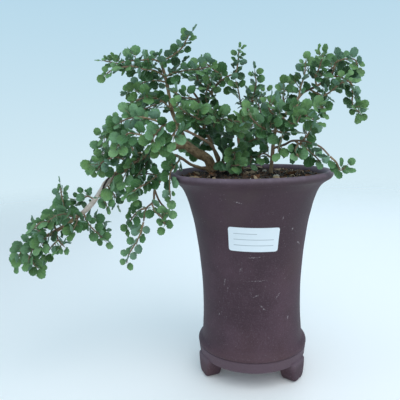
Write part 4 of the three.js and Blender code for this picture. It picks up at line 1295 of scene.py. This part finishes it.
wood_rows = []
for (radii, points), line in zip(wood_limbs, wood_lines):
    wood_rows += beads(line, lambda along, radii=radii: limb_radius(radii, along))
WOOD = np.array(wood_rows)
twig_rows = []
twig_owner = []
for number, (*_, line) in enumerate(twig_list):
    rows = beads(line, lambda along: 1 - 0.2 * along)
    twig_rows += rows
    twig_owner += [number] * len(rows)
TWIGS = np.array(twig_rows)
TWIG_OWNER = np.array(twig_owner)
TWIG_FEET = np.array([twig_list[number][-1][0] for number in twig_owner])
box_low = (np.array(cad_box[0]) - np.array(POT_AXIS)) / MM
box_high = (np.array(cad_box[1]) - np.array(POT_AXIS)) / MM

ring_angles = np.concatenate([2 * np.pi * np.arange(6) / 6, 2 * np.pi * np.arange(12) / 12])
ring_shares = np.array([0.55] * 6 + [1.0] * 12)


def leaf_at(place, along, side, half_width, seed, turn, to_light=SOLID_LIGHT):
    """One leaf as a disc, by the rule of the solids: it faces outwards, up to the light and forwards."""
    face = unit(to_light + FACE_OUTWARDS * unit(place - CROWN_CENTRE))
    face = face + np.array([sway * (steady(seed, i) - 0.5) for i, sway in enumerate(FACE_SWAY, 1)])
    across = unit(np.cross(along, face))
    if side == 0:
        way = along + across * TIP_SWAY * (steady(seed, 5) - 0.5)
    else:
        way = along * (LEAF_ALONG + LEAF_SWAY * steady(seed, 4)) + across * side * LEAF_ACROSS
    way = unit(way - LEAF_DROOP)
    way = turned(way, along, turn)
    face = turned(face, along, turn * FACE_TURN)
    face = unit(face - way * face.dot(way))
    middle = place + way * (STALK + half_width)
    aside = np.cross(face, way)
    ring = middle + half_width * ring_shares[:, None] * (
        np.cos(ring_angles)[:, None] * way + np.sin(ring_angles)[:, None] * aside)
    points = np.vstack([middle, place + way * STALK, ring])
    return {"root": place, "way": way, "face": face, "middle": middle, "half": half_width,
            "points": points, "seed": seed}


def touches(points, radii, leaf, gap, thickness):
    """Which points, with their radii, come too close to a leaf's blade."""
    offset = points - leaf["middle"]
    height = np.abs(offset @ leaf["face"])
    reach = leaf["half"] + radii + gap
    inside = (offset * offset).sum(axis=1) - height * height < reach * reach
    return inside & (height <= thickness / 2 + radii + gap)


def covered(origin, way, leaf, gap):
    """The stretch of a line that a leaf's blade covers."""
    offset = leaf["middle"] - origin
    along = offset.dot(way)
    reach = leaf["half"] + gap
    rest = reach * reach - (offset.dot(offset) - along * along)
    return None if rest <= 0 else (along - math.sqrt(rest), along + math.sqrt(rest))


def leaves_clash(one, other, gap, thickness):
    if touches(one["points"], thickness / 2, other, gap, thickness).any():
        return True
    if touches(other["points"], thickness / 2, one, gap, thickness).any():
        return True
    way = np.cross(one["face"], other["face"])
    if math.sqrt(way.dot(way)) < 0.05:
        return False
    way = unit(way)
    slope = one["face"].dot(other["face"])
    first = one["face"].dot(one["middle"])
    second = other["face"].dot(other["middle"])
    origin = one["face"] * (first - second * slope) / (1 - slope * slope)
    origin = origin + other["face"] * (second - first * slope) / (1 - slope * slope)
    a = covered(origin, way, one, gap)
    b = covered(origin, way, other, gap)
    return a is not None and b is not None and a[0] < b[1] and b[0] < a[1]


def in_pot(points):
    """True where a point would be in or against the pot or the soil."""
    for x, y, z in points:
        across = math.hypot(x, y)
        if across > RIM_RADIUS + POT_CLEAR or z > RIM_TOP + POT_CLEAR:
            continue
        if across > MOUTH_RADIUS - POT_CLEAR or z < soil_top(x, y) + POT_CLEAR:
            return True
    return False


placed = []
placed_middles = np.zeros((4000, 3))
placed_halves = np.zeros(4000)


def is_clear(leaf, owner, way, gap=SOLID_GAP, thickness=SOLID_THICKNESS, apart=0.0):
    """Whether a leaf stands clear of the pot, the wood, the twigs and the leaves set before it."""
    if in_pot(leaf["points"]):
        return False
    middle = leaf["middle"]
    near = leaf["half"] + NEAR_LEAF
    rows = WOOD[((WOOD[:, :3] - middle) ** 2).sum(axis=1) < near * near]
    if len(rows) and touches(rows[:, :3], rows[:, 3], leaf, gap, thickness).any():
        return False
    close = ((TWIGS[:, :3] - middle) ** 2).sum(axis=1) < near * near
    if close.any():
        rows, owners, feet_near = TWIGS[close], TWIG_OWNER[close], TWIG_FEET[close]
        to_root = np.linalg.norm(rows[:, :3] - leaf["root"], axis=1)
        forked = np.linalg.norm(feet_near - leaf["root"], axis=1) < 2 * OWN_TWIG
        beside = np.where(owners == owner, np.abs(rows[:, 4] - way) < OWN_TWIG, forked & (to_root < OWN_TWIG))
        if (touches(rows[:, :3], rows[:, 3], leaf, gap, thickness) & ~beside).any():
            return False
    count = len(placed)
    if count:
        reach = placed_halves[:count] + leaf["half"] + NEXT_LEAF
        distance = ((placed_middles[:count] - middle) ** 2).sum(axis=1)
        if apart and (distance < (apart * (placed_halves[:count] + leaf["half"])) ** 2).any():
            return False
        for i in np.nonzero(distance <= reach * reach)[0]:
            if leaves_clash(leaf, placed[i], gap, thickness):
                return False
    return True


def keep(leaf, spray_leaves, age):
    leaf["age"] = age
    placed_middles[len(placed)] = leaf["middle"]
    placed_halves[len(placed)] = leaf["half"]
    placed.append(leaf)
    spray_leaves.append(leaf)


# First the leaves that the solids have, at the same stations, in the same order and by the same rule
spray_leaves = {name: [] for name in SPRAYS}
for owner, (name, line_number, first_seed, line) in enumerate(twig_list):
    narrow, wide_leaf = SPRAYS[name][:2]
    total = lengths_along(line)[-1]
    count = math.floor((total - FIRST_LEAF) / LEAF_SPACING) + 1
    for k in range(count + 1):
        seed = first_seed + k
        at_tip = k == count
        way = total - TIP_GAP if at_tip else FIRST_LEAF + k * LEAF_SPACING
        place, along = station(line, way)
        side = 0 if at_tip else 1 - 2 * ((k + line_number) % 2)
        half_width = between(narrow, wide_leaf, seed, 6) / 2 * (1 - TIP_SHRINK * (way / total) ** 2)
        for turn in TURNS:
            leaf = leaf_at(place, along, side, half_width, seed, turn)
            if is_clear(leaf, owner, way):
                keep(leaf, spray_leaves[name], way / total)
                break

# Then more leaves between them, and short side shoots with a few small leaves each. They keep less
# room, so that they overlap in layers as the real ones do, and stay inside the solids' box.
FINE_GAP = 0.05
FINE_THICKNESS = 0.25
FINE_LIGHT = np.array([0.05, -0.95, 0.42])
SHOOT_SPACING = 3.6
TRUNK_TWIG_SPACING = 4.5
FILL_SPACING = 2.3
CLOSE_SPARSE = 0.82
CLOSE_FULL = 0.42
SHOOT_SHORTEST = 4.5
SHOOT_LONGEST = 11.0
FINE_NARROW = 0.68
FINE_WIDE = 1.04
FIRST_FINE_LEAF = 3
FIRST_FILL_LEAF = 2
TRUNK_TWIG_CLOSE = 0.55
TRUNK_TWIG_SEEDS = 300000
SHOOT_SEEDS = 400000
FILL_SEEDS = 700000
BOX_ROOM = 0.8
BARE_SHARE = 0.75
DEPTHWAYS = np.array([0.1, -1, 0.1])
SHOOT_LIFT = np.array([0, -0.08, 0.22])
SHOOT_SHARE = 1.3
SHOOT_SHIFT = 1.2
SHOOT_TAPER = 0.45
SHOOT_ROLL = 2.2
SHOOT_ALONG = 0.55
SHOOT_ASIDE = 0.8
SHOOT_BEND = 0.18
SHOOT_RADIUS = 0.3
NEAR_SHOOT_SQUARED = 200
LONG_SHOOT = 8

# Each leaf of a side shoot: its share of the length, and its side, or 0 for the tip
SHOOT_LEAVES = ((0.40, 1), (0.62, -1), (0.82, 1), (0.98, 0))
FINE_TURNS = [0, 0.6, -0.6, 1.2, -1.2, 1.9, -1.9, 2.6, 3.1]
spray_shoots = {name: [] for name in SPRAYS}

# Short twigs on the trunk and its front limb, which their leaves hide, for each spray that they belong to
TRUNK_TWIGS = {
    "left_reach": [
        [(-52, -30, 211), (-54, -37, 213), (-56, -43, 210), (-57, -47, 204)],
        [(-62, -36, 215), (-66, -43, 214), (-70, -48, 209), (-73, -50, 203)],
    ],
    "trunk_veil": [
        [(-92, -11, 189), (-95, -20, 186), (-99, -29, 180), (-101, -35, 173)],
        [(-84, -8, 191), (-85, -16, 186), (-88, -25, 180), (-91, -32, 175)],
    ],
    "left_shade": [
        [(-104, -15, 181), (-107, -23, 179), (-111, -30, 174), (-113, -34, 168)],
    ],
    "low_front": [
        [(-146, -29, 141), (-149, -37, 146), (-153, -45, 147), (-158, -51, 144)],
        [(-155, -30, 135), (-158, -38, 134), (-163, -46, 130), (-166, -52, 124)],
        [(-143, -28, 143), (-141, -36, 140), (-142, -43, 134)],
    ],
    "low_mid": [
        [(-170, -32, 127), (-174, -40, 123), (-177, -47, 117), (-178, -51, 111)],
        [(-150, -29, 138), (-156, -22, 145), (-163, -18, 149)],
    ],
    "low_end": [
        [(-180, -34, 121), (-184, -40, 122), (-187, -43, 118), (-189, -45, 113)],
        [(-183, -35, 117), (-180, -41, 112), (-177, -45, 107), (-173, -47, 104)],
    ],
}

trunk_twigs = {name: [] for name in SPRAYS}

# Stretches of wood that the front shows bare: (stem, limb, from, to), in shares of the limb's length
BARE_STRETCHES = [
    ("trunk", 0, 0.0, 0.20), ("trunk", 0, 0.52, 0.72), ("trunk", 1, 0.0, 0.30), ("trunk", 3, 0.25, 0.95),
    ("twin_stem", 0, 0.0, 0.45), ("twin_stem", 1, 0.75, 1.0), ("right_stem", 0, 0.0, 0.40),
    ("right_stem", 1, 0.2, 0.65),
]
bare_spots = []
for stem_name, number, start, end in BARE_STRETCHES:
    line, shares = even_line(STEMS[stem_name][number][1], 1.5)
    bare_spots += [spot for spot, share in zip(line, shares) if start <= share <= end]
BARE_SPOTS = np.array(bare_spots)
EYE = (np.array(CAMERA_PLACE) - np.array(POT_AXIS)) / MM


def hides_bare_wood(leaf):
    """Whether a leaf would stand before wood that the front shows bare."""
    reach = np.linalg.norm(leaf["middle"] - EYE)
    sight = (leaf["middle"] - EYE) / reach
    offset = BARE_SPOTS - EYE
    depth = offset @ sight
    aside = (offset * offset).sum(axis=1) - depth * depth
    return ((depth > reach) & (aside < (BARE_SHARE * leaf["half"]) ** 2)).any()


def inside_box(points):
    low, high = box_low + BOX_ROOM, box_high - BOX_ROOM
    return (points.min(axis=0) > low).all() and (points.max(axis=0) < high).all()


def add_fine_leaf(place, along, side, half_width, seed, owner, way, leaves, age, apart):
    for turn in FINE_TURNS:
        leaf = leaf_at(place, along, side, half_width, seed, turn, FINE_LIGHT)
        if hides_bare_wood(leaf) or not inside_box(leaf["points"]):
            continue
        if is_clear(leaf, owner, way, FINE_GAP, FINE_THICKNESS, apart):
            keep(leaf, leaves, age)
            return True
    return False


def shoot_is_clear(points):
    """Whether a side shoot misses the pot and the blades of the leaves set before it."""
    if in_pot(points) or not inside_box(points):
        return False
    count = len(placed)
    apart = ((placed_middles[:count] - points[-1]) ** 2).sum(axis=1)
    for i in np.nonzero(apart < NEAR_SHOOT_SQUARED)[0]:
        if touches(points[1:], SHOOT_RADIUS, placed[i], FINE_GAP, FINE_THICKNESS).any():
            return False
    return True


def grow_shoot(place, along, heading, length, widths, seed, owner, way, leaves, share, apart):
    """A short side shoot with leaves on both sides and at its tip. Gives its line where it fits."""
    bend = SHOOT_BEND * length * (along + np.array([0, 0, 0.5]))
    ways = np.linspace(0, 1, 5)[:, None]
    shoot = place + heading * length * ways + bend * ways ** 2
    if not shoot_is_clear(shoot):
        return None
    shoot_line = list(shoot)
    shoot_total = lengths_along(shoot_line)[-1]
    grown = 0
    for j, (part, side) in enumerate(SHOOT_LEAVES):
        if part > 0.8 and side and length < LONG_SHOOT:
            continue
        at, direction = station(shoot_line, part * shoot_total)
        leaf_seed = seed * 3 + j
        width = between(*widths, leaf_seed, 6) * (1.02 - 0.18 * part)
        leaf_age = held(0.35 + 0.65 * share + 0.2 * part)
        grown += add_fine_leaf(at, direction, side, width / 2, leaf_seed, owner, way, leaves, leaf_age, apart)
    return shoot if grown else None


def fine_habit(name):
    """How close the fine leaves of a spray stand, and their least and greatest width."""
    narrow, wide_leaf, fullness = SPRAYS[name][:3]
    apart = CLOSE_SPARSE + (CLOSE_FULL - CLOSE_SPARSE) * fullness
    return apart, (narrow * FINE_NARROW, wide_leaf * FINE_WIDE)


for name, twigs in TRUNK_TWIGS.items():
    narrow, wide_leaf = SPRAYS[name][:2]
    for line_number, points in enumerate(twigs):
        line = as_line(points)
        line[0] = nearest_on(wood_lines, line[0])
        trunk_twigs[name].append(line)
        total = lengths_along(line)[-1]
        for k in range(int((total - FIRST_FINE_LEAF) / TRUNK_TWIG_SPACING) + 2):
            seed = TRUNK_TWIG_SEEDS + 1000 * len(placed) + 100 * line_number + k
            way = min(total - TIP_GAP, FIRST_FINE_LEAF + k * TRUNK_TWIG_SPACING)
            place, along = station(line, way)
            half_width = between(narrow, wide_leaf, seed, 6) / 2
            for side in ((1, -1) if way < total - 1 else (0,)):
                add_fine_leaf(place, along, side, half_width, seed + 50 * side, -1, way, spray_leaves[name],
                              way / total, TRUNK_TWIG_CLOSE)

for owner, (name, line_number, first_seed, line) in enumerate(twig_list):
    fullness = SPRAYS[name][2]
    apart, widths = fine_habit(name)
    total = lengths_along(line)[-1]
    for k in range(int((total - FIRST_FINE_LEAF) / SHOOT_SPACING)):
        seed = SHOOT_SEEDS + first_seed + k
        if steady(seed, 31) > fullness * SHOOT_SHARE:
            continue
        way = FIRST_FINE_LEAF + k * SHOOT_SPACING + SHOOT_SHIFT * steady(seed, 11)
        place, along = station(line, way)
        share = way / total
        lengthening = (SHOOT_LONGEST - SHOOT_SHORTEST) * steady(seed, 13)
        length = SHOOT_SHORTEST + lengthening * (1 - SHOOT_TAPER * share)
        depthways = unit(DEPTHWAYS - along * along.dot(DEPTHWAYS))
        for attempt in range(3):
            roll = math.pi * ((k + attempt) % 2) + SHOOT_ROLL * (steady(seed, 12 + attempt) - 0.5)
            aside = turned(depthways, along, roll)
            heading = unit(SHOOT_ALONG * along + SHOOT_ASIDE * aside + SHOOT_LIFT)
            shoot = grow_shoot(place, along, heading, length, widths, seed, owner, way, spray_leaves[name],
                               share, apart)
            if shoot is not None:
                spray_shoots[name].append(shoot)
                break

for owner, (name, line_number, first_seed, line) in enumerate(twig_list):
    apart, widths = fine_habit(name)
    total = lengths_along(line)[-1]
    for k in range(int((total - FIRST_FILL_LEAF) / FILL_SPACING)):
        seed = FILL_SEEDS + first_seed + k
        way = FIRST_FILL_LEAF + k * FILL_SPACING
        place, along = station(line, way)
        for side in (1, -1):
            width = between(*widths, seed, 14 + side) * (1 - TIP_SHRINK * (way / total) ** 2)
            add_fine_leaf(place, along, side, width / 2, seed + 50 * side, owner, way, spray_leaves[name],
                          way / total, apart)


EDGE_REACH = 1.1
EDGE_CURL = 0.32


def held_in_box(leaf):
    """A leaf's middle, moved in where its curled edge would pass the solids' box."""
    aside = np.cross(leaf["face"], leaf["way"])
    flat = np.sqrt(leaf["way"] ** 2 + aside ** 2)
    reach = leaf["half"] * (EDGE_REACH * flat + EDGE_CURL * np.abs(leaf["face"]))
    return np.clip(leaf["middle"], box_low + reach, box_high - reach)


# Four leaf forms, made with a half width of one metre and set smaller at each place
LEAF_SPOKES = 22
LEAF_TEETH = 11
INNER_RING = 0.6
BLADE_THICKNESS = 0.055
STALK_LENGTH = 0.42
STALK_SIDES = 4
STALK_RADII = [0.075, 0.06, 0.05, 0.02]
STALK_DROP = 0.03
LEAF_FORMS = [
    {"cup": 0.16, "fold": 0.10, "long": 1.00, "wave": 0.05},
    {"cup": -0.12, "fold": 0.16, "long": 1.04, "wave": 0.07},
    {"cup": 0.26, "fold": 0.05, "long": 0.96, "wave": 0.09},
    {"cup": 0.04, "fold": 0.22, "long": 1.02, "wave": 0.11},
]


def blade_spot(k, share, cup, fold, long, wave):
    """A place on a blade's top, at a step round it and a share of the way from its middle to its edge."""
    angle = 2 * math.pi * k / LEAF_SPOKES
    tooth = 0.955 + 0.045 * math.cos(LEAF_TEETH * angle) if share == 1 else 1
    base = 1 - 0.13 * math.exp(-((math.pi - angle) / 0.35) ** 2)
    reach = share * (tooth * base * (1 + 0.05 * math.cos(angle)))
    x = reach * math.cos(angle) * long
    y = reach * math.sin(angle) * 0.96
    z = cup * (x * x * 0.6 + y * y) - cup * 0.4 + fold * (abs(y) - 0.3)
    z += wave * share ** 2 * math.sin(5 * angle + 2 * cup * 9)
    z += 0.02 * share * abs(math.sin(3.5 * angle)) * (1 - share)
    return x, y, z


def leaf_form(name, **shape):
    """A closed blade with rounded teeth, and its stalk. The map's whole part tells top, back and stalk."""
    cup, fold = shape["cup"], shape["fold"]
    steps = range(LEAF_SPOKES)
    inner = [blade_spot(k, INNER_RING, **shape) for k in steps]
    centre_z = -cup * 0.4 - fold * 0.3
    thickness = BLADE_THICKNESS * (1 - INNER_RING ** 3)
    vertices = [*inner, *(blade_spot(k, 1.0, **shape) for k in steps), (0, 0, centre_z)]
    top_centre, back_start = len(vertices) - 1, len(vertices)
    vertices += [*((x, y, z - thickness) for x, y, z in inner), (0, 0, centre_z - BLADE_THICKNESS)]
    back_centre, stalk_start = len(vertices) - 1, len(vertices)
    stalk_top = -cup * 0.4 + cup * 0.55 - fold * 0.3
    stalk_line = [(-1 - STALK_LENGTH, 0.0), (-1.15, 0.25 * stalk_top), (-0.86, stalk_top),
                  (-0.35, centre_z - STALK_DROP)]
    for (x, z), radius in zip(stalk_line, STALK_RADII):
        round_stalk = [round_spot(radius, k, STALK_SIDES) for k in range(STALK_SIDES)]
        vertices += [(x, aside, z - STALK_DROP + up) for aside, up in round_stalk]

    afters = [(k + 1) % LEAF_SPOKES for k in steps]
    top = [(top_centre, k, afters[k]) for k in steps] + ring_faces(0, LEAF_SPOKES, LEAF_SPOKES, True)
    back = [(back_centre, back_start + afters[k], back_start + k) for k in steps]
    back += ring_faces(back_start, LEAF_SPOKES, LEAF_SPOKES)
    stalk = [tuple(range(stalk_start, stalk_start + STALK_SIDES)),
             tuple(range(len(vertices) - 1, len(vertices) - 1 - STALK_SIDES, -1))]
    for low in range(stalk_start, len(vertices) - STALK_SIDES, STALK_SIDES):
        stalk += ring_faces(low, low + STALK_SIDES, STALK_SIDES, True)
    data = bpy.data.meshes.new(name)
    data.from_pydata(vertices, [], top + back + stalk)
    blade_map = data.uv_layers.new(name="blade")
    for face, kind in zip(data.polygons, [0] * len(top) + [1] * len(back) + [2] * len(stalk)):
        for loop in face.loop_indices:
            x, y, z = vertices[data.loops[loop].vertex_index]
            blade_map.data[loop].uv = (0.5 + 0.49 * y + kind, 0.5 + 0.49 * x) if kind < 2 else (2.5, 0.5)
    form = new_object(name, data)
    outwards(form)
    shade(form, 60)
    return form


leaf_forms = [leaf_form(f"leaf_form_{i}", **shape) for i, shape in enumerate(LEAF_FORMS)]

LEAF_TONES = [
    (0.0, (0.014, 0.048, 0.008, 1)), (0.35, (0.040, 0.118, 0.022, 1)), (0.65, (0.086, 0.206, 0.060, 1)),
    (1.0, (0.172, 0.312, 0.158, 1)),
]
LEAF_YOUNG = (0.195, 0.33, 0.09, 1)
LEAF_MOTTLE = (0.036, 0.105, 0.044, 1)
LEAF_BASE_SHADE = (0.018, 0.058, 0.014, 1)
LEAF_TIP_HIGHLIGHT = (0.20, 0.36, 0.20, 1)
LEAF_VEIN = (0.23, 0.37, 0.22, 1)
BACK_COLOUR = (0.155, 0.27, 0.175, 1)
BACK_VEIN = (0.25, 0.36, 0.24, 1)
STALK_COLOUR = (0.19, 0.15, 0.075, 1)
leaf_material, shader, place = finish("grewia_leaf")
spread = new_node(place.id_data, "ShaderNodeUVMap", {"uv_map": "blade"}).outputs[0]
over_leaf, lengthways = axis_of(spread, "X"), axis_of(spread, "Y")
is_stalk = reckon("GREATER_THAN", over_leaf, 2.0)
is_back = times(reckon("GREATER_THAN", over_leaf, 1.0), reckon("LESS_THAN", over_leaf, 2.0))
sideways = reckon("ABSOLUTE", reckon("SUBTRACT", reckon("FRACT", over_leaf), 0.5))
midrib = ranged(sideways, 0.006, 0.022, 1, 0)
side_nerve = reckon("SUBTRACT", sideways, times(reckon("SQRT", reckon("MAXIMUM", lengthways, 0.0)), 0.30))
side_nerve = ranged(reckon("ABSOLUTE", side_nerve), 0.004, 0.02, 0.8, 0)
slant = reckon("SUBTRACT", lengthways, times(sideways, 0.85))
rungs = ranged(reckon("PINGPONG", times(slant, 6.0), 0.5), 0.0, 0.09, 0.7, 0)
veins = reckon("MAXIMUM", reckon("MAXIMUM", midrib, side_nerve), rungs)
# The tone mixes a random tone with painted shade for leaves under others and leaves high in the crown
colour = toned(carried(place, "tone"), LEAF_TONES)
colour = laid_over(colour, LEAF_YOUNG, carried(place, "young"), 0.62, 1.0, 0.5)
colour = laid_over(colour, LEAF_MOTTLE, mottle(place, 420, 3), 0.4, 0.7, 0.4)
# Each blade is darker towards its stalk as painted shade, and paler towards its tip as a painted highlight
colour = blend(ranged(lengthways, 0.05, 0.70, 0.55, 0), colour, LEAF_BASE_SHADE)
colour = laid_over(colour, LEAF_TIP_HIGHLIGHT, lengthways, 0.62, 1.0, 0.30)
colour = blend(times(veins, 0.30), colour, LEAF_VEIN)
colour = blend(is_back, colour, blend(times(veins, 0.4), BACK_COLOUR, BACK_VEIN))
join(blend(is_stalk, colour, STALK_COLOUR), shader.inputs["Base Color"])
shader.inputs["Roughness"].default_value = 0.48
shader.inputs["Specular IOR Level"].default_value = 0.32
shader.inputs["Subsurface Weight"].default_value = 0.12
shader.inputs["Subsurface Radius"].default_value = (0.0012, 0.002, 0.0006)
shader.inputs["Sheen Weight"].default_value = 0.05
raised(shader, reckon("ADD", times(veins, -0.6), times(mottle(place, 2600, 2), 0.3)), 0.5, 0.0004)

# The tree that grows a spray: its lines become round twigs, and a leaf is set at each loose point
grow = Tree("leafy_twig", {
    "Twig thickness": "NodeSocketFloat", "Leaf size": "NodeSocketFloat", "Twig sides": "NodeSocketInt",
    "Leaf": "NodeSocketMaterial", "Bark": "NodeSocketMaterial",
    **{f"Form {i}": "NodeSocketObject" for i in range(len(LEAF_FORMS))},
})
curves = grow.add("GeometryNodeMeshToCurve", None, {"Mesh": grow.given("Geometry")})
profile = grow.add("GeometryNodeCurvePrimitiveCircle", None, {
    "Resolution": grow.given("Twig sides"), "Radius": 1.0})
tubes = grow.add("GeometryNodeCurveToMesh", None, {
    "Curve": curves.outputs[0], "Profile Curve": profile.outputs["Curve"],
    "Scale": times(grow.named("twig_radius"), grow.given("Twig thickness")), "Fill Caps": True})
aim = grow.add("FunctionNodeEulerToRotation", None, {0: grow.named("aim", "FLOAT_VECTOR")})
leaves_set = grow.add("GeometryNodeInstanceOnPoints", None, {
    "Points": grow.given("Geometry"), "Selection": grow.named("is_leaf", "BOOLEAN"),
    "Instance": grow.choice("Form", len(LEAF_FORMS)), "Pick Instance": True,
    "Instance Index": grow.named("pick", "INT"), "Rotation": aim.outputs[0],
    "Scale": times(grow.named("half_width"), grow.given("Leaf size"))})
whole = grow.add("GeometryNodeJoinGeometry")
join(grow.painted(tubes.outputs[0], "Bark"), whole.inputs[0])
join(grow.painted(grow.real(leaves_set.outputs[0]), "Leaf"), whole.inputs[0])
join(whole.outputs[0], grow.exit.inputs[0])

# Leaves under others are darker, and so are those high in the crown, which are seen against the light.
# The radii of a spray's wood are those at its foot and at its tip.
TOWARDS_LIGHT = unit(np.array([0.15, -0.5, 0.85]))
SHADE_NEAREST = 1.5
SHADE_DEPTH = 28
FULL_SHADE = 4
TONE_MIDDLE = 0.50
TONE_SPREAD = 0.70
COVER_SHADE = 0.52
HEIGHT_SHADE = 0.17
SHADE_LEVEL = 190
SHADE_REACH = 60
TWIG_STEP = 1.6
TWIG_TIP = 0.35
TWIG_RADII = (0.80, 0.50)
TRUNK_TWIG_RADII = (0.60, 0.35)
SHOOT_RADII = (0.34, 0.22)


def cover_over(leaf):
    """How much of the light other leaves keep from a leaf, from 0 to 1."""
    offset = placed_middles[:len(placed)] - leaf["middle"]
    height_over = offset @ TOWARDS_LIGHT
    aside = np.sqrt(np.maximum(0, (offset * offset).sum(axis=1) - height_over ** 2))
    over = (height_over > SHADE_NEAREST) & (height_over < SHADE_DEPTH) & (aside < 0.9 * leaf["half"] + 2.5)
    return min(1, over.sum() / FULL_SHADE)


def spray_plan(name, lines, trunk_lines, shoots, leaves):
    """The mesh that a spray grows from: edges along its twigs, and a loose point for each leaf."""
    points = []
    edges = []
    radii = []
    young = []
    marks = []
    wood = [(line, TWIG_RADII) for line in lines]
    wood += [(line, TRUNK_TWIG_RADII) for line in trunk_lines]
    wood += [(line, SHOOT_RADII) for line in shoots]
    for line, (thick_end, thin_end) in wood:
        fine, shares = even_line(line, TWIG_STEP)
        start = len(points)
        for spot, share in zip(fine, shares):
            points.append(spot)
            radius = thick_end + (thin_end - thick_end) * share
            radii.append(radius * MM * (TWIG_TIP if share == 1 else 1))
            young.append(share if thick_end > 0.6 else 0.9)
            marks.append((0, share * 40 + len(points) * 0.1, 0))
        edges += [(start + k, start + k + 1) for k in range(len(fine) - 1)]
    twig_count = len(points)
    aims = [(0, 0, 0)] * twig_count
    halves = [0.0] * twig_count
    picks = [0] * twig_count
    tones = [0.0] * twig_count
    for leaf in leaves:
        points.append(held_in_box(leaf))
        basis = Matrix((leaf["way"], np.cross(leaf["face"], leaf["way"]), leaf["face"])).transposed()
        aims.append(tuple(basis.to_euler()))
        halves.append(leaf["half"] * MM)
        picks.append(int(steady(leaf["seed"], 21) * len(LEAF_FORMS)))
        tone = TONE_SPREAD * steady(leaf["seed"], 22) + TONE_MIDDLE - COVER_SHADE * cover_over(leaf)
        tone -= HEIGHT_SHADE * held((leaf["middle"][2] - SHADE_LEVEL) / SHADE_REACH, -1, 1)
        tones.append(held(tone))
        radii.append(0.0)
        marks.append((0, 0, 0))
        young.append(leaf["age"])
    piece = new_piece(name, points, [], edges)
    is_leaf = [index >= twig_count for index in range(len(points))]
    for title, kind, values in (
            ("twig_radius", "FLOAT", radii), ("half_width", "FLOAT", halves), ("tone", "FLOAT", tones),
            ("young", "FLOAT", young), ("pick", "INT", picks), ("is_leaf", "BOOLEAN", is_leaf),
            ("aim", "FLOAT_VECTOR", aims), ("limb", "FLOAT_VECTOR", marks)):
        carry(piece.data, title, kind, values)
    return piece


for name, lines in spray_lines.items():
    spray = spray_plan(f"leafy_{name}", lines, trunk_twigs[name], spray_shoots[name], spray_leaves[name])
    grow.apply(spray, {
        "Twig thickness": 1.0, "Leaf size": 1.0, "Twig sides": 7, "Leaf": leaf_material,
        "Bark": bark_material, **{f"Form {i}": form for i, form in enumerate(leaf_forms)}})
    shade(spray, 60)
    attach(spray, "root")
    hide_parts(f"spray_{name}")
for form in leaf_forms:
    bpy.data.objects.remove(form)
